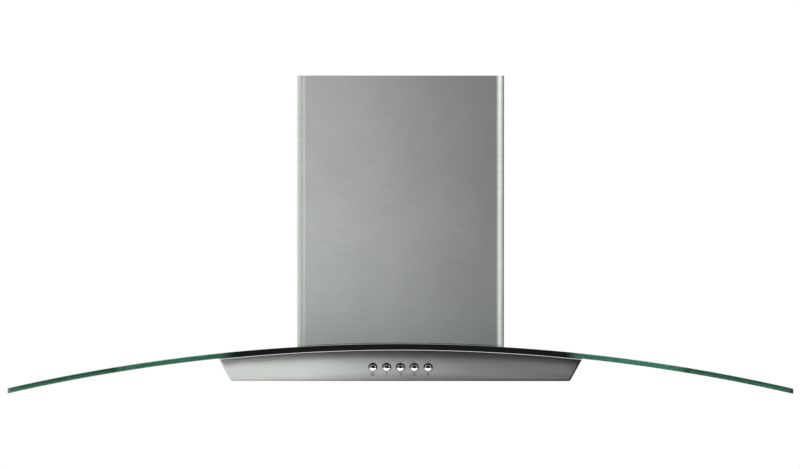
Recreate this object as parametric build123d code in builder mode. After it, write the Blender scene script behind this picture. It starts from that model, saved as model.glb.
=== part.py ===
from build123d import *
import os
from math import cos, radians, sin, sqrt, tan

os.makedirs("parts", exist_ok=True)

# A wall hood with a bent glass canopy, in millimetres.
# +X is the hood's right as seen from the front, +Y runs into the wall and +Z is up.
# The origin is on the wall plane, on the centre line, level with the body's bottom edge.

# Glass canopy, bent about a line along Y
glass_width = 900
glass_depth = 490
glass_sheet = 6
glass_radius = 2000  # of the upper surface
glass_apex = 42.3  # height of the upper surface on the centre line
glass_wall_gap = 3
elbow_half = 327  # half width of the bowed front edge, out to its elbows
front_bow = 14  # how far the front edge bows out between the elbows
wing_setback = 95  # how far the tips lie behind the elbows
elbow_round = 30
tip_round = 24
cutout_side_inset = 2  # in from the blower box's sides
cutout_front_inset = 10  # in from its front
cutout_round = 8

# Body: a shallow tray that widens upwards
body_half = 193.3  # half width at the bottom edge
body_depth = 469  # at the bottom edge
side_lean = 29  # degrees from upright
front_lean = 0.5  # degrees from upright
steel = 0.8  # sheet of body, chimneys and panel
lower_lip = 4.5
upper_lip = 12
seam_setback = 14  # how far the fascia's ends turn round the corners
seam_gap = 0.2

# Layers between the glass and the body
gasket_sheet = 1.0
gasket_band = 12
gasket_gap = 0.05  # each gasket face to the glass
gasket_setback = 1  # in from the sheet that it lies on
top_sheet = 1.0
rim_height = 1.2
rim_width = 2.0
rim_gap = 0.3
top_inset = 3

# Push buttons
button_count = 5
button_pitch = 15.75
button_height = 15.8
cap_radius = 4.1
cap_edge = 0.9  # how far the cap's rim stands out of the fascia
cap_crown = 2.3
cap_tail = 4.0
stem_radius = 2.5
stem_length = 9
stem_gap = 0.3
button_travel = 2.5
bezel_gap = 0.25  # between cap and bezel
bezel_wall = 0.9
bezel_seat_gap = 0.1
bezel_stand = 0.6
bezel_round = 0.3
bezel_depth = 4.4
block_half = 42
block_low = 6
block_high = 27
block_depth = 16.2
board_sheet = 1.6
board_margin = 2

# Grease filters, hinged at the rear
filter_side_margin = 15.6  # from a filter to the body's side
filter_end_space = 146  # depth of the body in front of and behind the filters
filter_height = 8
filter_gap = 1.0
filter_half_gap = 5  # from the centre line to a filter
rear_margin = 24
frame_bar = 9
front_bar = 24
groove_depth = 4
groove_lip = 1.6
pad_gap = 0.2
pin_radius = 1.8
pin_gap = 0.05
pin_inset = 3.0
pin_rise = 3.2
pin_reach = 4
swing_gap = 0.3

# Filter latch and its keeper
latch_width = 40
latch_length = 10
latch_sheet = 3
latch_travel = 5
latch_gap = 0.3
latch_wall = 1.5  # frame metal in front of the pocket
rail_reach = 1.2
rail_sheet = 1
tongue_width = 16
tongue_sheet = 1.8
tongue_reach = 4
grip_sheet = 2
notch_width = 20
notch_depth = 6
leaf_width = 14
leaf_sheet = 0.5
leaf_length = 21

# Hinge brackets on the panel
bracket_block = 3
bracket_half = 4
bracket_top = 1.4  # metal above the pin
foot_length = 6
foot_sheet = 1.4
middle_length = 17
panel_screw_radius = 1.5
panel_head_radius = 2.8

# Lamps
lamp_x = 135
lamp_front_margin = 42  # from the body's front edge to a lamp's middle
lamp_radius = 27
lamp_window = 20
lamp_collar = 24.8
lamp_wall = 2.3
lamp_collar_height = 4.2
lamp_hole_gap = 0.2
lens_sheet = 2
lens_gap = 0.2
housing_wall = 1.6
housing_height = 20.4
bulb_radius = 21
bulb_throat = 7
bulb_height = 13

# Blower box, which stands on the glass
box_front_gap = 19  # from the chimney's front face
box_top = 232
box_sheet = 1.0
flange_side_gap = 6.7  # from the flange to the chimney
box_flange = 20
box_flange_front = 14
clamp_screw_radius = 2
clamp_head_radius = 3.5
clamp_head_height = 2.4
clamp_gap = 0.3
glass_hole_radius = 3.5
clamp_rear_y = -30
clamp_front_inset = 21  # behind the box's front
clamp_middle_x = 50
nut_radius = 4
nut_height = 3.4
wall_hole_radius = 4
wall_hole_x = 70
wall_hole_drop = 32  # below the box's top
lower_hole_radius = 2.75
lower_hole_x = 150
lower_hole_z = 15

# Scroll casing, impeller and motor
scroll_half = 40
scroll_wall = 2
scroll_radius = 80
scroll_drop = 102  # of its centre below the box's top
throat_width = 75
inlet_radius = 48
impeller_radius = 62
impeller_offset = 6  # towards the wall and down from the scroll's centre
impeller_half = 33
impeller_disc = 2
blade_count = 36
blade_length = 11.5
blade_sheet = 0.9
blade_angle = 40
hub_radius = 12
hub_length = 22
shaft_radius = 4
shaft_gap = 0.05
hub_gap = 0.02
shaft_hole = 14
bracket_sheet = 1.5
bracket_radius = 52
bracket_hole = 10
motor_radius = 38
motor_flange_radius = 47
motor_flange = 3
motor_round = 4
motor_boss = 12
motor_boss_length = 4
motor_bore_depth = 30
motor_end_gap = 3.5  # to the box's side
motor_screw_ring = 43
motor_screw_radius = 2
motor_head_radius = 3.2
motor_head_height = 2.4
capacitor_radius = 15
capacitor_length = 42
capacitor_inset = 26  # behind the box's front
capacitor_drop = 34  # below the box's top

# Outlet collar with back-draught flaps
collar_radius = 74.5
collar_wall = 2
collar_setback = 7  # in front of the scroll's centre
collar_base = 2.5
collar_base_reach = 7.5
collar_height = 45
collar_screw_reach = 3.8  # out from the collar's wall
collar_screw_radius = 1.5
collar_head_radius = 2.8
collar_head_height = 1.8
spindle_radius = 2
spindle_gap = 0.05
spindle_rise = 24
spindle_seat = 1
flap_gap = 2.5  # between a flap and the collar's wall
flap_sheet = 1.2
flap_root = 4.2
flap_seat = 0.3
ledge_height = 3
ledge_width = 4
knuckle_radius = 3.5
knuckle_length = 18
knuckle_pitch = 22

# Terminal box and cable gland
terminal_wide = 29
terminal_deep = 29
terminal_high = 30
terminal_wall = 1.5
terminal_edge = 1  # in from the blower box's side
terminal_rear_margin = 4
gland_bore = 3.75
gland_body = 5.9
gland_hex = 8
gland_hex_height = 4
gland_dome = 6.5
gland_dome_height = 10
gland_tail = 4

# Chimney, lower part fixed and upper part nested in it
chimney_width = 239
chimney_depth = 205
chimney_top = 351
chimney_round = 9.5
chimney_flange = 12
chimney_glass_gap = 0.3
nest_gap = 0.6
upper_drop = 1.0  # the nested part's top below the lower part's
upper_lift = 9.7  # of the nested part's lower end above the glass
ledge_sheet = 1.2
ledge_gap = 0.3
bracket_y = -110
bracket_width = 20
bracket_leg = 26
bracket_lip = 6
bracket_screw_radius = 1.5
bracket_head_radius = 3
bracket_head_height = 1.6
strap_sheet = 1.2
strap_height = 22
strap_below_top = 27
strap_ear = 18
strap_side_gap = 0.2
strap_step_gap = 0.2
strap_hole_radius = 2.75
strap_hole_x = 80

# Derived sizes and places
box_half = chimney_width / 2 - steel - flange_side_gap - box_flange
box_depth = chimney_depth - box_front_gap
motor_length = box_half - box_sheet - motor_end_gap - motor_boss_length - bracket_sheet - scroll_half
cutout_half = box_half - cutout_side_inset
cutout_depth = box_depth - cutout_front_inset
filter_width = body_half - filter_half_gap - filter_side_margin
filter_length = body_depth - filter_end_space
lamp_y = -body_depth + lamp_front_margin
clamp_front_y = -box_depth + clamp_front_inset
wall_hole_z = box_top - wall_hole_drop
scroll_y = -box_depth / 2
scroll_z = box_top - scroll_drop
impeller_y = scroll_y + impeller_offset
impeller_z = scroll_z - impeller_offset
capacitor_y = -box_depth + capacitor_inset
capacitor_z = box_top - capacitor_drop
collar_y = scroll_y - collar_setback
collar_base_radius = collar_radius + collar_base_reach
collar_screw_ring = collar_radius + collar_screw_reach
flap_radius = collar_radius - collar_wall - flap_gap
terminal_y = -terminal_rear_margin - terminal_deep / 2
upper_bottom = glass_apex + upper_lift
cut_crest = 1.5 * glass_apex  # above all that lies on the glass
arc_centre = glass_apex - glass_radius
underside = glass_radius - glass_sheet
gasket_base = underside - gasket_sheet
top_base = gasket_base - top_sheet
lip_base = top_base - steel
wall_crest = underside - rim_gap - rim_height
box_seat = glass_radius + gasket_sheet
flange_crest = box_seat + box_sheet
body_crest = glass_apex  # above everything in the body
filter_x = filter_half_gap + filter_width / 2
panel_top = 2 * steel
filter_base = steel
pin_z = filter_base + pin_rise
rear_gap = sqrt(pin_inset**2 + pin_rise**2) - pin_inset + swing_gap
filter_rear = -rear_margin - rear_gap
filter_front = filter_rear - filter_length
pin_y = filter_rear - pin_inset
aperture_front = filter_front - filter_gap
aperture_half = filter_width / 2 + filter_gap
latch_front = filter_front + latch_wall + latch_gap
tongue_base = panel_top + leaf_sheet + latch_gap
leaf_end = aperture_front - latch_gap - 0.2
leaf_screw_y = leaf_end - leaf_length + panel_head_radius + 2
bracket_foot_x = filter_half_gap + filter_width + 1.6 + bracket_block
outer_screw_x = bracket_foot_x + foot_length / 2 - 0.4
middle_screw_y = pin_y - middle_length / 2
clamp_x = box_half + box_flange / 2 + 1
clamp_middle_y = -box_depth - box_flange_front / 2
collar_floor = box_top + collar_base
spindle_z = collar_floor + spindle_rise
bezel_radius = cap_radius + bezel_gap + bezel_wall
bezel_seat = bezel_radius + bezel_seat_gap
terminal_x = box_half - terminal_edge - terminal_wide / 2
sleeve_half = chimney_width / 2 - steel - nest_gap

# The fascia leans, so the buttons work square to its own plane: +x right, +y up the slope, +z outwards
fascia_normal = Vector(0, -cos(radians(front_lean)), -sin(radians(front_lean)))
fascia_plane = Plane(origin=(0, -body_depth, 0), x_dir=(1, 0, 0), z_dir=fascia_normal)
button_up = button_height / cos(radians(front_lean))
button_line = [button_pitch * (i - (button_count - 1) / 2) for i in range(button_count)]


def arc_height(x, radius):
    """Height of the arc of this radius about the glass's bending line, at x."""
    return arc_centre + sqrt(radius**2 - x**2)


def save(piece, name):
    """Labels a finished piece and writes its STEP file."""
    piece.part.label = name
    export_step(piece.part, f"parts/{name}.step")


def arc_band(outer, inner, base=-1.5 * glass_apex):
    """Everything between two arcs about the bending line, and above base, over the whole depth."""
    with BuildPart(mode=Mode.PRIVATE) as band:
        with BuildSketch(Plane.XZ.offset(-20)):
            with Locations((0, arc_centre)):
                Circle(outer)
            with Locations((0, base)):
                Rectangle(glass_width + 40, outer, align=(Align.CENTER, Align.MIN), mode=Mode.INTERSECT)
            if inner:
                with Locations((0, arc_centre)):
                    Circle(inner, mode=Mode.SUBTRACT)
        extrude(amount=1.2 * glass_depth)
    return band.part


def body_form(inset, low, high):
    """The body's leaning outline from low to high, with each wall drawn in by inset."""
    with BuildPart(mode=Mode.PRIVATE) as form:
        for height in (low, high):
            half = body_half + height * tan(radians(side_lean)) - inset / cos(radians(side_lean))
            front = -body_depth - height * tan(radians(front_lean)) + inset / cos(radians(front_lean))
            with BuildSketch(Plane.XY.offset(height)):
                with Locations((0, (front - inset) / 2)):
                    Rectangle(2 * half, -inset - front)
        loft(ruled=True)
    return form.part


def plate(x_low, x_high, y_low, y_high, z_low, z_high):
    """A plain block between these limits."""
    with BuildPart(mode=Mode.PRIVATE) as block:
        with BuildSketch(Plane.XY.offset(z_low)):
            with Locations(((x_low + x_high) / 2, (y_low + y_high) / 2)):
                Rectangle(x_high - x_low, y_high - y_low)
        extrude(amount=z_high - z_low)
    return block.part


def rod(x, y, z_low, z_high, radius):
    """A cylinder along Z."""
    with BuildPart(mode=Mode.PRIVATE) as cylinder:
        with BuildSketch(Plane.XY.offset(z_low)):
            with Locations((x, y)):
                Circle(radius)
        extrude(amount=z_high - z_low)
    return cylinder.part


def cross_rod(x_low, x_high, y, z, radius):
    """A cylinder along X."""
    with BuildPart(mode=Mode.PRIVATE) as cylinder:
        with BuildSketch(Plane.YZ.offset(x_low)):
            with Locations((y, z)):
                Circle(radius)
        extrude(amount=x_high - x_low)
    return cylinder.part


def deep_rod(x, y_low, y_high, z, radius):
    """A cylinder along Y."""
    with BuildPart(mode=Mode.PRIVATE) as cylinder:
        with BuildSketch(Plane.XZ.offset(-y_high)):
            with Locations((x, z)):
                Circle(radius)
        extrude(amount=y_high - y_low)
    return cylinder.part


# ---------------------------------------------------------------- glass canopy
front_y = -glass_wall_gap - glass_depth
elbow_y = front_y + front_bow
tip_y = elbow_y + wing_setback
clamp_places = [(sx * clamp_x, y) for sx in (-1, 1) for y in (clamp_rear_y, clamp_front_y)]
clamp_places += [(sx * clamp_middle_x, clamp_middle_y) for sx in (-1, 1)]

with BuildPart() as glass_canopy:
    with BuildSketch(Plane.XY.offset(arc_height(glass_width / 2, underside) - 5)):
        with BuildLine():
            ThreePointArc((-elbow_half, elbow_y), (0, front_y), (elbow_half, elbow_y))
            Polyline(
                (elbow_half, elbow_y),
                (glass_width / 2, tip_y),
                (glass_width / 2, -glass_wall_gap),
                (-glass_width / 2, -glass_wall_gap),
                (-glass_width / 2, tip_y),
                (-elbow_half, elbow_y),
            )
        outline = make_face()
        corners = outline.vertices()
        fillet([v for v in corners if abs(v.X) > glass_width / 2 - 1 and v.Y < tip_y + 1], tip_round)
        fillet([v for v in outline.vertices() if abs(abs(v.X) - elbow_half) < 1], elbow_round)
        with Locations((0, -glass_wall_gap)):
            Rectangle(
                2 * cutout_half,
                2 * (cutout_depth - glass_wall_gap),
                mode=Mode.SUBTRACT,
            )
    extrude(amount=glass_apex - arc_height(glass_width / 2, underside) + 10)
    add(arc_band(glass_radius, underside), mode=Mode.INTERSECT)
    notch_corners = [
        e
        for e in glass_canopy.edges().filter_by(Axis.Z)
        if abs(abs(e.center().X) - cutout_half) < 1 and e.center().Y < -cutout_depth / 2
    ]
    fillet(notch_corners, cutout_round)
    with BuildSketch(Plane.XY):
        with Locations(*clamp_places):
            Circle(glass_hole_radius)
    extrude(amount=2 * glass_apex, mode=Mode.SUBTRACT)
save(glass_canopy, "glass_canopy")

# ---------------------------------------------------------------- body
with BuildPart(mode=Mode.PRIVATE) as front_slice:
    with BuildSketch(fascia_plane.offset(1)):
        Rectangle(3 * body_half, 4 * body_crest)
    extrude(amount=-1 - seam_setback)

with BuildPart(mode=Mode.PRIVATE) as tray:
    add(body_form(0, 0, body_crest))
    add(body_form(steel, -1, body_crest + 1), mode=Mode.SUBTRACT)
    add(arc_band(wall_crest, None), mode=Mode.INTERSECT)

with BuildPart(mode=Mode.PRIVATE) as floor_lip:
    add(body_form(0, 0, steel))
    add(body_form(lower_lip, -1, steel + 1), mode=Mode.SUBTRACT)

with BuildPart(mode=Mode.PRIVATE) as roof_lip:
    add(body_form(0, 0, body_crest))
    add(body_form(upper_lip, -1, body_crest + 1), mode=Mode.SUBTRACT)
    add(arc_band(top_base, lip_base), mode=Mode.INTERSECT)

with BuildPart() as fascia:
    add(tray.part)
    add(floor_lip.part)
    add(roof_lip.part)
    add(front_slice.part, mode=Mode.INTERSECT)
    with BuildSketch(fascia_plane.offset(1)):
        with Locations(*[(x, button_up) for x in button_line]):
            Circle(bezel_seat)
    extrude(amount=-2 - steel, mode=Mode.SUBTRACT)
save(fascia, "fascia")

with BuildPart() as body_shell:
    add(tray.part)
    add(floor_lip.part)
    add(roof_lip.part)
    with BuildSketch(fascia_plane.offset(1)):
        Rectangle(3 * body_half, 4 * body_crest)
    extrude(amount=-1 - seam_setback - seam_gap, mode=Mode.SUBTRACT)
    for sx in (-1, 1):
        add(deep_rod(sx * lower_hole_x, -5, 5, lower_hole_z, lower_hole_radius), mode=Mode.SUBTRACT)
save(body_shell, "body_shell")

with BuildPart() as glass_rim:
    add(body_form(0, 0, body_crest))
    add(body_form(rim_width, -1, body_crest + 1), mode=Mode.SUBTRACT)
    add(arc_band(underside - rim_gap, wall_crest), mode=Mode.INTERSECT)
    add(plate(-400, 400, -upper_lip, 5, -1, body_crest + 1), mode=Mode.SUBTRACT)
save(glass_rim, "glass_rim")

air_half = cutout_half - 2
air_rear = -upper_lip
air_front = -cutout_depth + 2

with BuildPart() as top_plate:
    add(body_form(top_inset, 0, body_crest))
    add(arc_band(gasket_base, top_base), mode=Mode.INTERSECT)
    add(plate(-air_half, air_half, air_front, air_rear, 0, body_crest), mode=Mode.SUBTRACT)
    for x, y in clamp_places:
        with BuildSketch(Plane.XY.offset(arc_height(abs(x) + nut_radius, top_base) + 0.5)):
            with Locations((x, y)):
                RegularPolygon(nut_radius, 6)
        extrude(amount=-nut_height)
    for x, y in clamp_places:
        add(rod(x, y, 0, body_crest, clamp_screw_radius + clamp_gap), mode=Mode.SUBTRACT)
save(top_plate, "top_plate")

with BuildPart(mode=Mode.PRIVATE) as gasket_web:
    add(plate(-cutout_half - box_flange, cutout_half + box_flange, -box_depth - box_flange_front,
              -glass_wall_gap - 1, 0, cut_crest))
    add(plate(-cutout_half - 2, cutout_half + 2, -cutout_depth - 2, 0, 0, cut_crest),
        mode=Mode.SUBTRACT)

with BuildPart() as glass_gasket:
    add(body_form(top_inset + gasket_setback, 0, body_crest))
    add(body_form(top_inset + gasket_setback + gasket_band, -1, body_crest + 1), mode=Mode.SUBTRACT)
    add(gasket_web.part)
    add(arc_band(underside - gasket_gap, gasket_base), mode=Mode.INTERSECT)
    add(plate(-cutout_half - 2, cutout_half + 2, -cutout_depth - 2, 0, 0, cut_crest),
        mode=Mode.SUBTRACT)
    for x, y in clamp_places:
        add(rod(x, y, 0, body_crest, clamp_screw_radius + clamp_gap), mode=Mode.SUBTRACT)
save(glass_gasket, "glass_gasket")

# ---------------------------------------------------------------- underside panel
panel_half = body_half - 1
panel_front = -body_depth + 1.2
lamp_places = [(sx * lamp_x, lamp_y) for sx in (-1, 1)]
screw_places = [(sx * outer_screw_x, pin_y) for sx in (-1, 1)]
screw_places += [(0, middle_screw_y)]
screw_places += [(sx * filter_x, leaf_screw_y) for sx in (-1, 1)]

with BuildPart() as underside_panel:
    with BuildSketch(Plane.XY.offset(steel)):
        with Locations((0, (panel_front - steel - 0.4) / 2)):
            Rectangle(2 * panel_half, -panel_front - steel - 0.4)
        for sx in (-1, 1):
            with Locations((sx * filter_x, (aperture_front - rear_margin) / 2)):
                Rectangle(2 * aperture_half, -rear_margin - aperture_front, mode=Mode.SUBTRACT)
            with Locations((sx * filter_x, aperture_front)):
                Rectangle(notch_width, 2 * notch_depth, mode=Mode.SUBTRACT)
        with Locations(*lamp_places):
            Circle(lamp_collar + lamp_hole_gap, mode=Mode.SUBTRACT)
        with Locations(*screw_places):
            Circle(panel_screw_radius + 0.1, mode=Mode.SUBTRACT)
    extrude(amount=steel)
save(underside_panel, "underside_panel")

bracket_crest = pin_z + pin_radius + pin_gap + bracket_top
with BuildPart() as filter_hinge_brackets:
    middle_half = filter_half_gap - 1.7
    add(plate(-middle_half, middle_half, pin_y + bracket_half - middle_length, pin_y + bracket_half,
              panel_top, bracket_crest))
    for sx in (-1, 1):
        inner, outer = sorted((sx * (bracket_foot_x - bracket_block), sx * bracket_foot_x))
        add(plate(inner, outer, pin_y - bracket_half, pin_y + bracket_half, panel_top, bracket_crest))
        inner, outer = sorted((sx * bracket_foot_x, sx * (bracket_foot_x + foot_length)))
        add(plate(inner, outer, pin_y - bracket_half, pin_y + bracket_half, panel_top,
                  panel_top + foot_sheet))
    add(cross_rod(-body_half, body_half, pin_y, pin_z, pin_radius + pin_gap), mode=Mode.SUBTRACT)
    for x, y in screw_places[:3]:
        add(rod(x, y, 0, panel_top + foot_sheet + 2, panel_screw_radius + 0.1), mode=Mode.SUBTRACT)
save(filter_hinge_brackets, "filter_hinge_brackets")

with BuildPart() as panel_screws:
    with BuildSketch(Plane.XY):
        with Locations(*screw_places):
            Circle(panel_head_radius)
    extrude(amount=steel)
    with BuildSketch(Plane.XY):
        with Locations(*screw_places):
            Circle(panel_screw_radius)
    extrude(amount=panel_top + foot_sheet)
save(panel_screws, "panel_screws")

# ---------------------------------------------------------------- grease filters
window_rear = filter_rear - frame_bar
window_front = filter_front + front_bar
window_half = filter_width / 2 - frame_bar
pocket_half = latch_width / 2 + latch_gap
pocket_rear = latch_front + latch_length + latch_travel + latch_gap
pocket_crest = filter_base + steel + latch_sheet + latch_gap
rail_base = filter_base + steel + (latch_sheet - rail_sheet) / 2
rail_half = latch_width / 2 + rail_reach

for side, sx in (("left", -1), ("right", 1)):
    x = sx * filter_x
    with BuildPart() as filter_frame:
        add(plate(x - filter_width / 2, x + filter_width / 2, filter_front, filter_rear,
                  filter_base, filter_base + filter_height))
        outer_edges = filter_frame.edges().filter_by(Axis.Z)
        fillet(outer_edges, 1.5)
        add(plate(x - window_half, x + window_half, window_front, window_rear,
                  0, filter_base + filter_height + 1), mode=Mode.SUBTRACT)
        add(plate(x - window_half - groove_depth, x + window_half + groove_depth,
                  window_front - groove_depth, window_rear + groove_depth,
                  filter_base + groove_lip, filter_base + filter_height - groove_lip), mode=Mode.SUBTRACT)
        add(plate(x - pocket_half, x + pocket_half, filter_front + latch_wall, pocket_rear,
                  0, pocket_crest), mode=Mode.SUBTRACT)
        add(plate(x - pocket_half - rail_reach, x + pocket_half + rail_reach, filter_front + latch_wall,
                  pocket_rear, rail_base - latch_gap, rail_base + rail_sheet + latch_gap), mode=Mode.SUBTRACT)
        add(plate(x - tongue_width / 2 - latch_gap, x + tongue_width / 2 + latch_gap, filter_front - 1,
                  filter_front + latch_wall + 1, tongue_base - latch_gap,
                  tongue_base + tongue_sheet + latch_gap), mode=Mode.SUBTRACT)
        add(cross_rod(x - filter_width / 2 - pin_reach, x - filter_width / 2 + 1, pin_y, pin_z, pin_radius))
        add(cross_rod(x + filter_width / 2 - 1, x + filter_width / 2 + pin_reach, pin_y, pin_z, pin_radius))
    save(filter_frame, f"{side}_filter_frame")

    pad_half = window_half + groove_depth - pad_gap
    with BuildPart() as filter_mesh:
        add(plate(x - pad_half, x + pad_half, window_front - groove_depth + pad_gap,
                  window_rear + groove_depth - pad_gap, filter_base + groove_lip + pad_gap,
                  filter_base + filter_height - groove_lip - pad_gap))
    save(filter_mesh, f"{side}_filter_mesh")

    with BuildPart() as filter_latch:
        slider_base = filter_base + steel
        slider_rear = latch_front + latch_length
        add(plate(x - latch_width / 2, x + latch_width / 2, latch_front, slider_rear,
                  slider_base, slider_base + latch_sheet))
        add(plate(x - rail_half, x + rail_half, latch_front, slider_rear, rail_base, rail_base + rail_sheet))
        add(plate(x - tongue_width / 2, x + tongue_width / 2, filter_front - tongue_reach, latch_front + 1,
                  tongue_base, tongue_base + tongue_sheet))
        add(plate(x - latch_width / 2 + 4, x + latch_width / 2 - 4, slider_rear - grip_sheet - 1,
                  slider_rear - 1, filter_base, slider_base))
    save(filter_latch, f"{side}_filter_latch")

    with BuildPart() as filter_keeper:
        add(plate(x - leaf_width / 2, x + leaf_width / 2, leaf_end - leaf_length, leaf_end,
                  panel_top, panel_top + leaf_sheet))
        fillet(filter_keeper.edges().filter_by(Axis.Z), 1)
        add(rod(x, leaf_screw_y, 0, 10, panel_screw_radius + 0.1), mode=Mode.SUBTRACT)
    save(filter_keeper, f"{side}_filter_keeper")

# ---------------------------------------------------------------- lamps
housing_inner = lamp_collar + lamp_hole_gap + 0.4
housing_crest = panel_top + housing_height
bulb_base = steel + lens_sheet + 3
for side, sx in (("left", -1), ("right", 1)):
    x = sx * lamp_x
    with BuildPart() as lamp_bezel:
        add(rod(x, lamp_y, 0, steel, lamp_radius))
        fillet(lamp_bezel.faces().sort_by(Axis.Z)[0].edges(), 0.5)
        add(rod(x, lamp_y, steel, steel + lamp_collar_height, lamp_collar))
        add(rod(x, lamp_y, steel, 20, lamp_collar - lamp_wall), mode=Mode.SUBTRACT)
        add(rod(x, lamp_y, -1, 20, lamp_window), mode=Mode.SUBTRACT)
    save(lamp_bezel, f"{side}_lamp_bezel")

    with BuildPart() as lamp_lens:
        add(rod(x, lamp_y, steel, steel + lens_sheet, lamp_collar - lamp_wall - lens_gap))
    save(lamp_lens, f"{side}_lamp_lens")

    with BuildPart() as lamp_housing:
        add(rod(x, lamp_y, panel_top, housing_crest, housing_inner + housing_wall))
        fillet(lamp_housing.faces().sort_by(Axis.Z)[-1].edges(), 2)
        add(rod(x, lamp_y, 0, housing_crest - housing_wall, housing_inner), mode=Mode.SUBTRACT)
    save(lamp_housing, f"{side}_lamp_housing")

    with BuildPart() as lamp_bulb:
        with BuildSketch(Plane.XY.offset(bulb_base)):
            with Locations((x, lamp_y)):
                Circle(bulb_radius)
        with BuildSketch(Plane.XY.offset(bulb_base + bulb_height)):
            with Locations((x, lamp_y)):
                Circle(bulb_throat)
        loft()
        add(rod(x, lamp_y, bulb_base + bulb_height - 1, housing_crest - housing_wall, bulb_throat))
    save(lamp_bulb, f"{side}_lamp_bulb")

# ---------------------------------------------------------------- controls
block_centre = (block_low + block_high) / 2
with BuildPart() as switch_block:
    with BuildSketch(fascia_plane.offset(-steel)):
        with Locations((0, block_centre)):
            Rectangle(2 * block_half, block_high - block_low)
    extrude(amount=-block_depth)
    with BuildSketch(fascia_plane.offset(0)):
        with Locations(*[(x, button_up) for x in button_line]):
            Circle(bezel_seat)
    extrude(amount=-cap_tail - button_travel - 2, mode=Mode.SUBTRACT)
    with BuildSketch(fascia_plane.offset(0)):
        with Locations(*[(x, button_up) for x in button_line]):
            Circle(stem_radius + stem_gap)
    extrude(amount=-block_depth - 5, mode=Mode.SUBTRACT)
save(switch_block, "switch_block")

board_plane = fascia_plane.offset(-steel - block_depth)
with BuildPart() as circuit_board:
    with BuildSketch(board_plane):
        with Locations((0, block_centre)):
            Rectangle(2 * (block_half - board_margin), block_high - block_low - 2 * board_margin)
    extrude(amount=-board_sheet)
    with BuildSketch(board_plane.offset(-board_sheet)):
        with Locations((-24, block_centre), (-4, block_centre)):
            Rectangle(13, 11)
        with Locations((22, block_centre)):
            Rectangle(22, 6)
    extrude(amount=-7)
save(circuit_board, "circuit_board")

with BuildPart() as button_bezels:
    with BuildSketch(fascia_plane.offset(bezel_stand)):
        with Locations(*[(x, button_up) for x in button_line]):
            Circle(bezel_radius)
            Circle(cap_radius + bezel_gap, mode=Mode.SUBTRACT)
    extrude(amount=-bezel_stand - bezel_depth)
    fillet(button_bezels.faces().group_by(Axis.Y)[0].edges(), bezel_round)
save(button_bezels, "button_bezels")

crown_height = cap_crown - cap_edge
crown_radius = (cap_radius**2 + crown_height**2) / (2 * crown_height)
crown_middle = cap_crown - crown_radius + sqrt(crown_radius**2 - (cap_radius / 2) ** 2)
button_names = ("off", "one", "two", "three", "lamp")
for name, x in zip(button_names, button_line):
    centre = fascia_plane.from_local_coords(Vector(x, button_up, 0))
    side_plane = Plane(origin=centre, x_dir=(1, 0, 0), z_dir=Vector(1, 0, 0).cross(fascia_normal))
    with BuildPart() as button:
        with BuildSketch(side_plane):
            with BuildLine():
                Polyline(
                    (0, cap_crown),
                    (0, -cap_tail - stem_length),
                    (stem_radius, -cap_tail - stem_length),
                    (stem_radius, -cap_tail),
                    (cap_radius, -cap_tail),
                    (cap_radius, cap_edge),
                )
                ThreePointArc((cap_radius, cap_edge), (cap_radius / 2, crown_middle), (0, cap_crown))
            make_face()
        revolve(axis=Axis(centre, fascia_normal))
    save(button, f"button_{name}")

# ---------------------------------------------------------------- blower box
throat_front = scroll_y - scroll_radius
throat_rear = throat_front + throat_width
with BuildPart() as blower_box:
    add(plate(-box_half, box_half, -box_depth, 0, 0, box_top))
    add(plate(-box_half + box_sheet, box_half - box_sheet, -box_depth + box_sheet, -box_sheet,
              -1, box_top - box_sheet), mode=Mode.SUBTRACT)
    add(arc_band(box_seat, None), mode=Mode.SUBTRACT)
    with BuildPart(mode=Mode.PRIVATE) as flange_ring:
        add(plate(-box_half - box_flange, box_half + box_flange, -box_depth - box_flange_front,
                  -glass_wall_gap, 0, cut_crest))
        add(plate(-box_half + box_sheet, box_half - box_sheet, -box_depth + box_sheet, 0, -1, cut_crest + 1),
            mode=Mode.SUBTRACT)
        add(arc_band(flange_crest, box_seat), mode=Mode.INTERSECT)
    add(flange_ring.part)
    for x, y in clamp_places:
        add(rod(x, y, 0, cut_crest, clamp_screw_radius + clamp_gap), mode=Mode.SUBTRACT)
    for sx in (-1, 1):
        add(deep_rod(sx * wall_hole_x, -5, 5, wall_hole_z, wall_hole_radius), mode=Mode.SUBTRACT)
        add(cross_rod(sx * box_half - 2, sx * box_half + 2, bracket_y,
                      upper_bottom + bracket_leg / 2, bracket_screw_radius + 0.1), mode=Mode.SUBTRACT)
    add(plate(-scroll_half + scroll_wall, scroll_half - scroll_wall, throat_front + scroll_wall,
              throat_rear - scroll_wall, box_top - 5, box_top + 5), mode=Mode.SUBTRACT)
    add(rod(terminal_x, terminal_y, box_top - 5, box_top + 5, gland_body), mode=Mode.SUBTRACT)
    for angle in (30, 150, 210, 330):
        add(rod(collar_screw_ring * cos(radians(angle)), collar_y + collar_screw_ring * sin(radians(angle)),
                box_top - 5, box_top + 5, collar_screw_radius + 0.1), mode=Mode.SUBTRACT)
save(blower_box, "blower_box")

with BuildPart() as blower_gasket:
    add(plate(-box_half - box_flange + gasket_setback, box_half + box_flange - gasket_setback,
              -box_depth - box_flange_front + gasket_setback, -glass_wall_gap - gasket_setback, 0, cut_crest))
    add(plate(-box_half + box_sheet, box_half - box_sheet, -box_depth + box_sheet, 0, -1, cut_crest + 1),
        mode=Mode.SUBTRACT)
    add(arc_band(box_seat, glass_radius + gasket_gap), mode=Mode.INTERSECT)
    for x, y in clamp_places:
        add(rod(x, y, 0, cut_crest, clamp_screw_radius + clamp_gap), mode=Mode.SUBTRACT)
save(blower_gasket, "blower_gasket")

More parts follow.
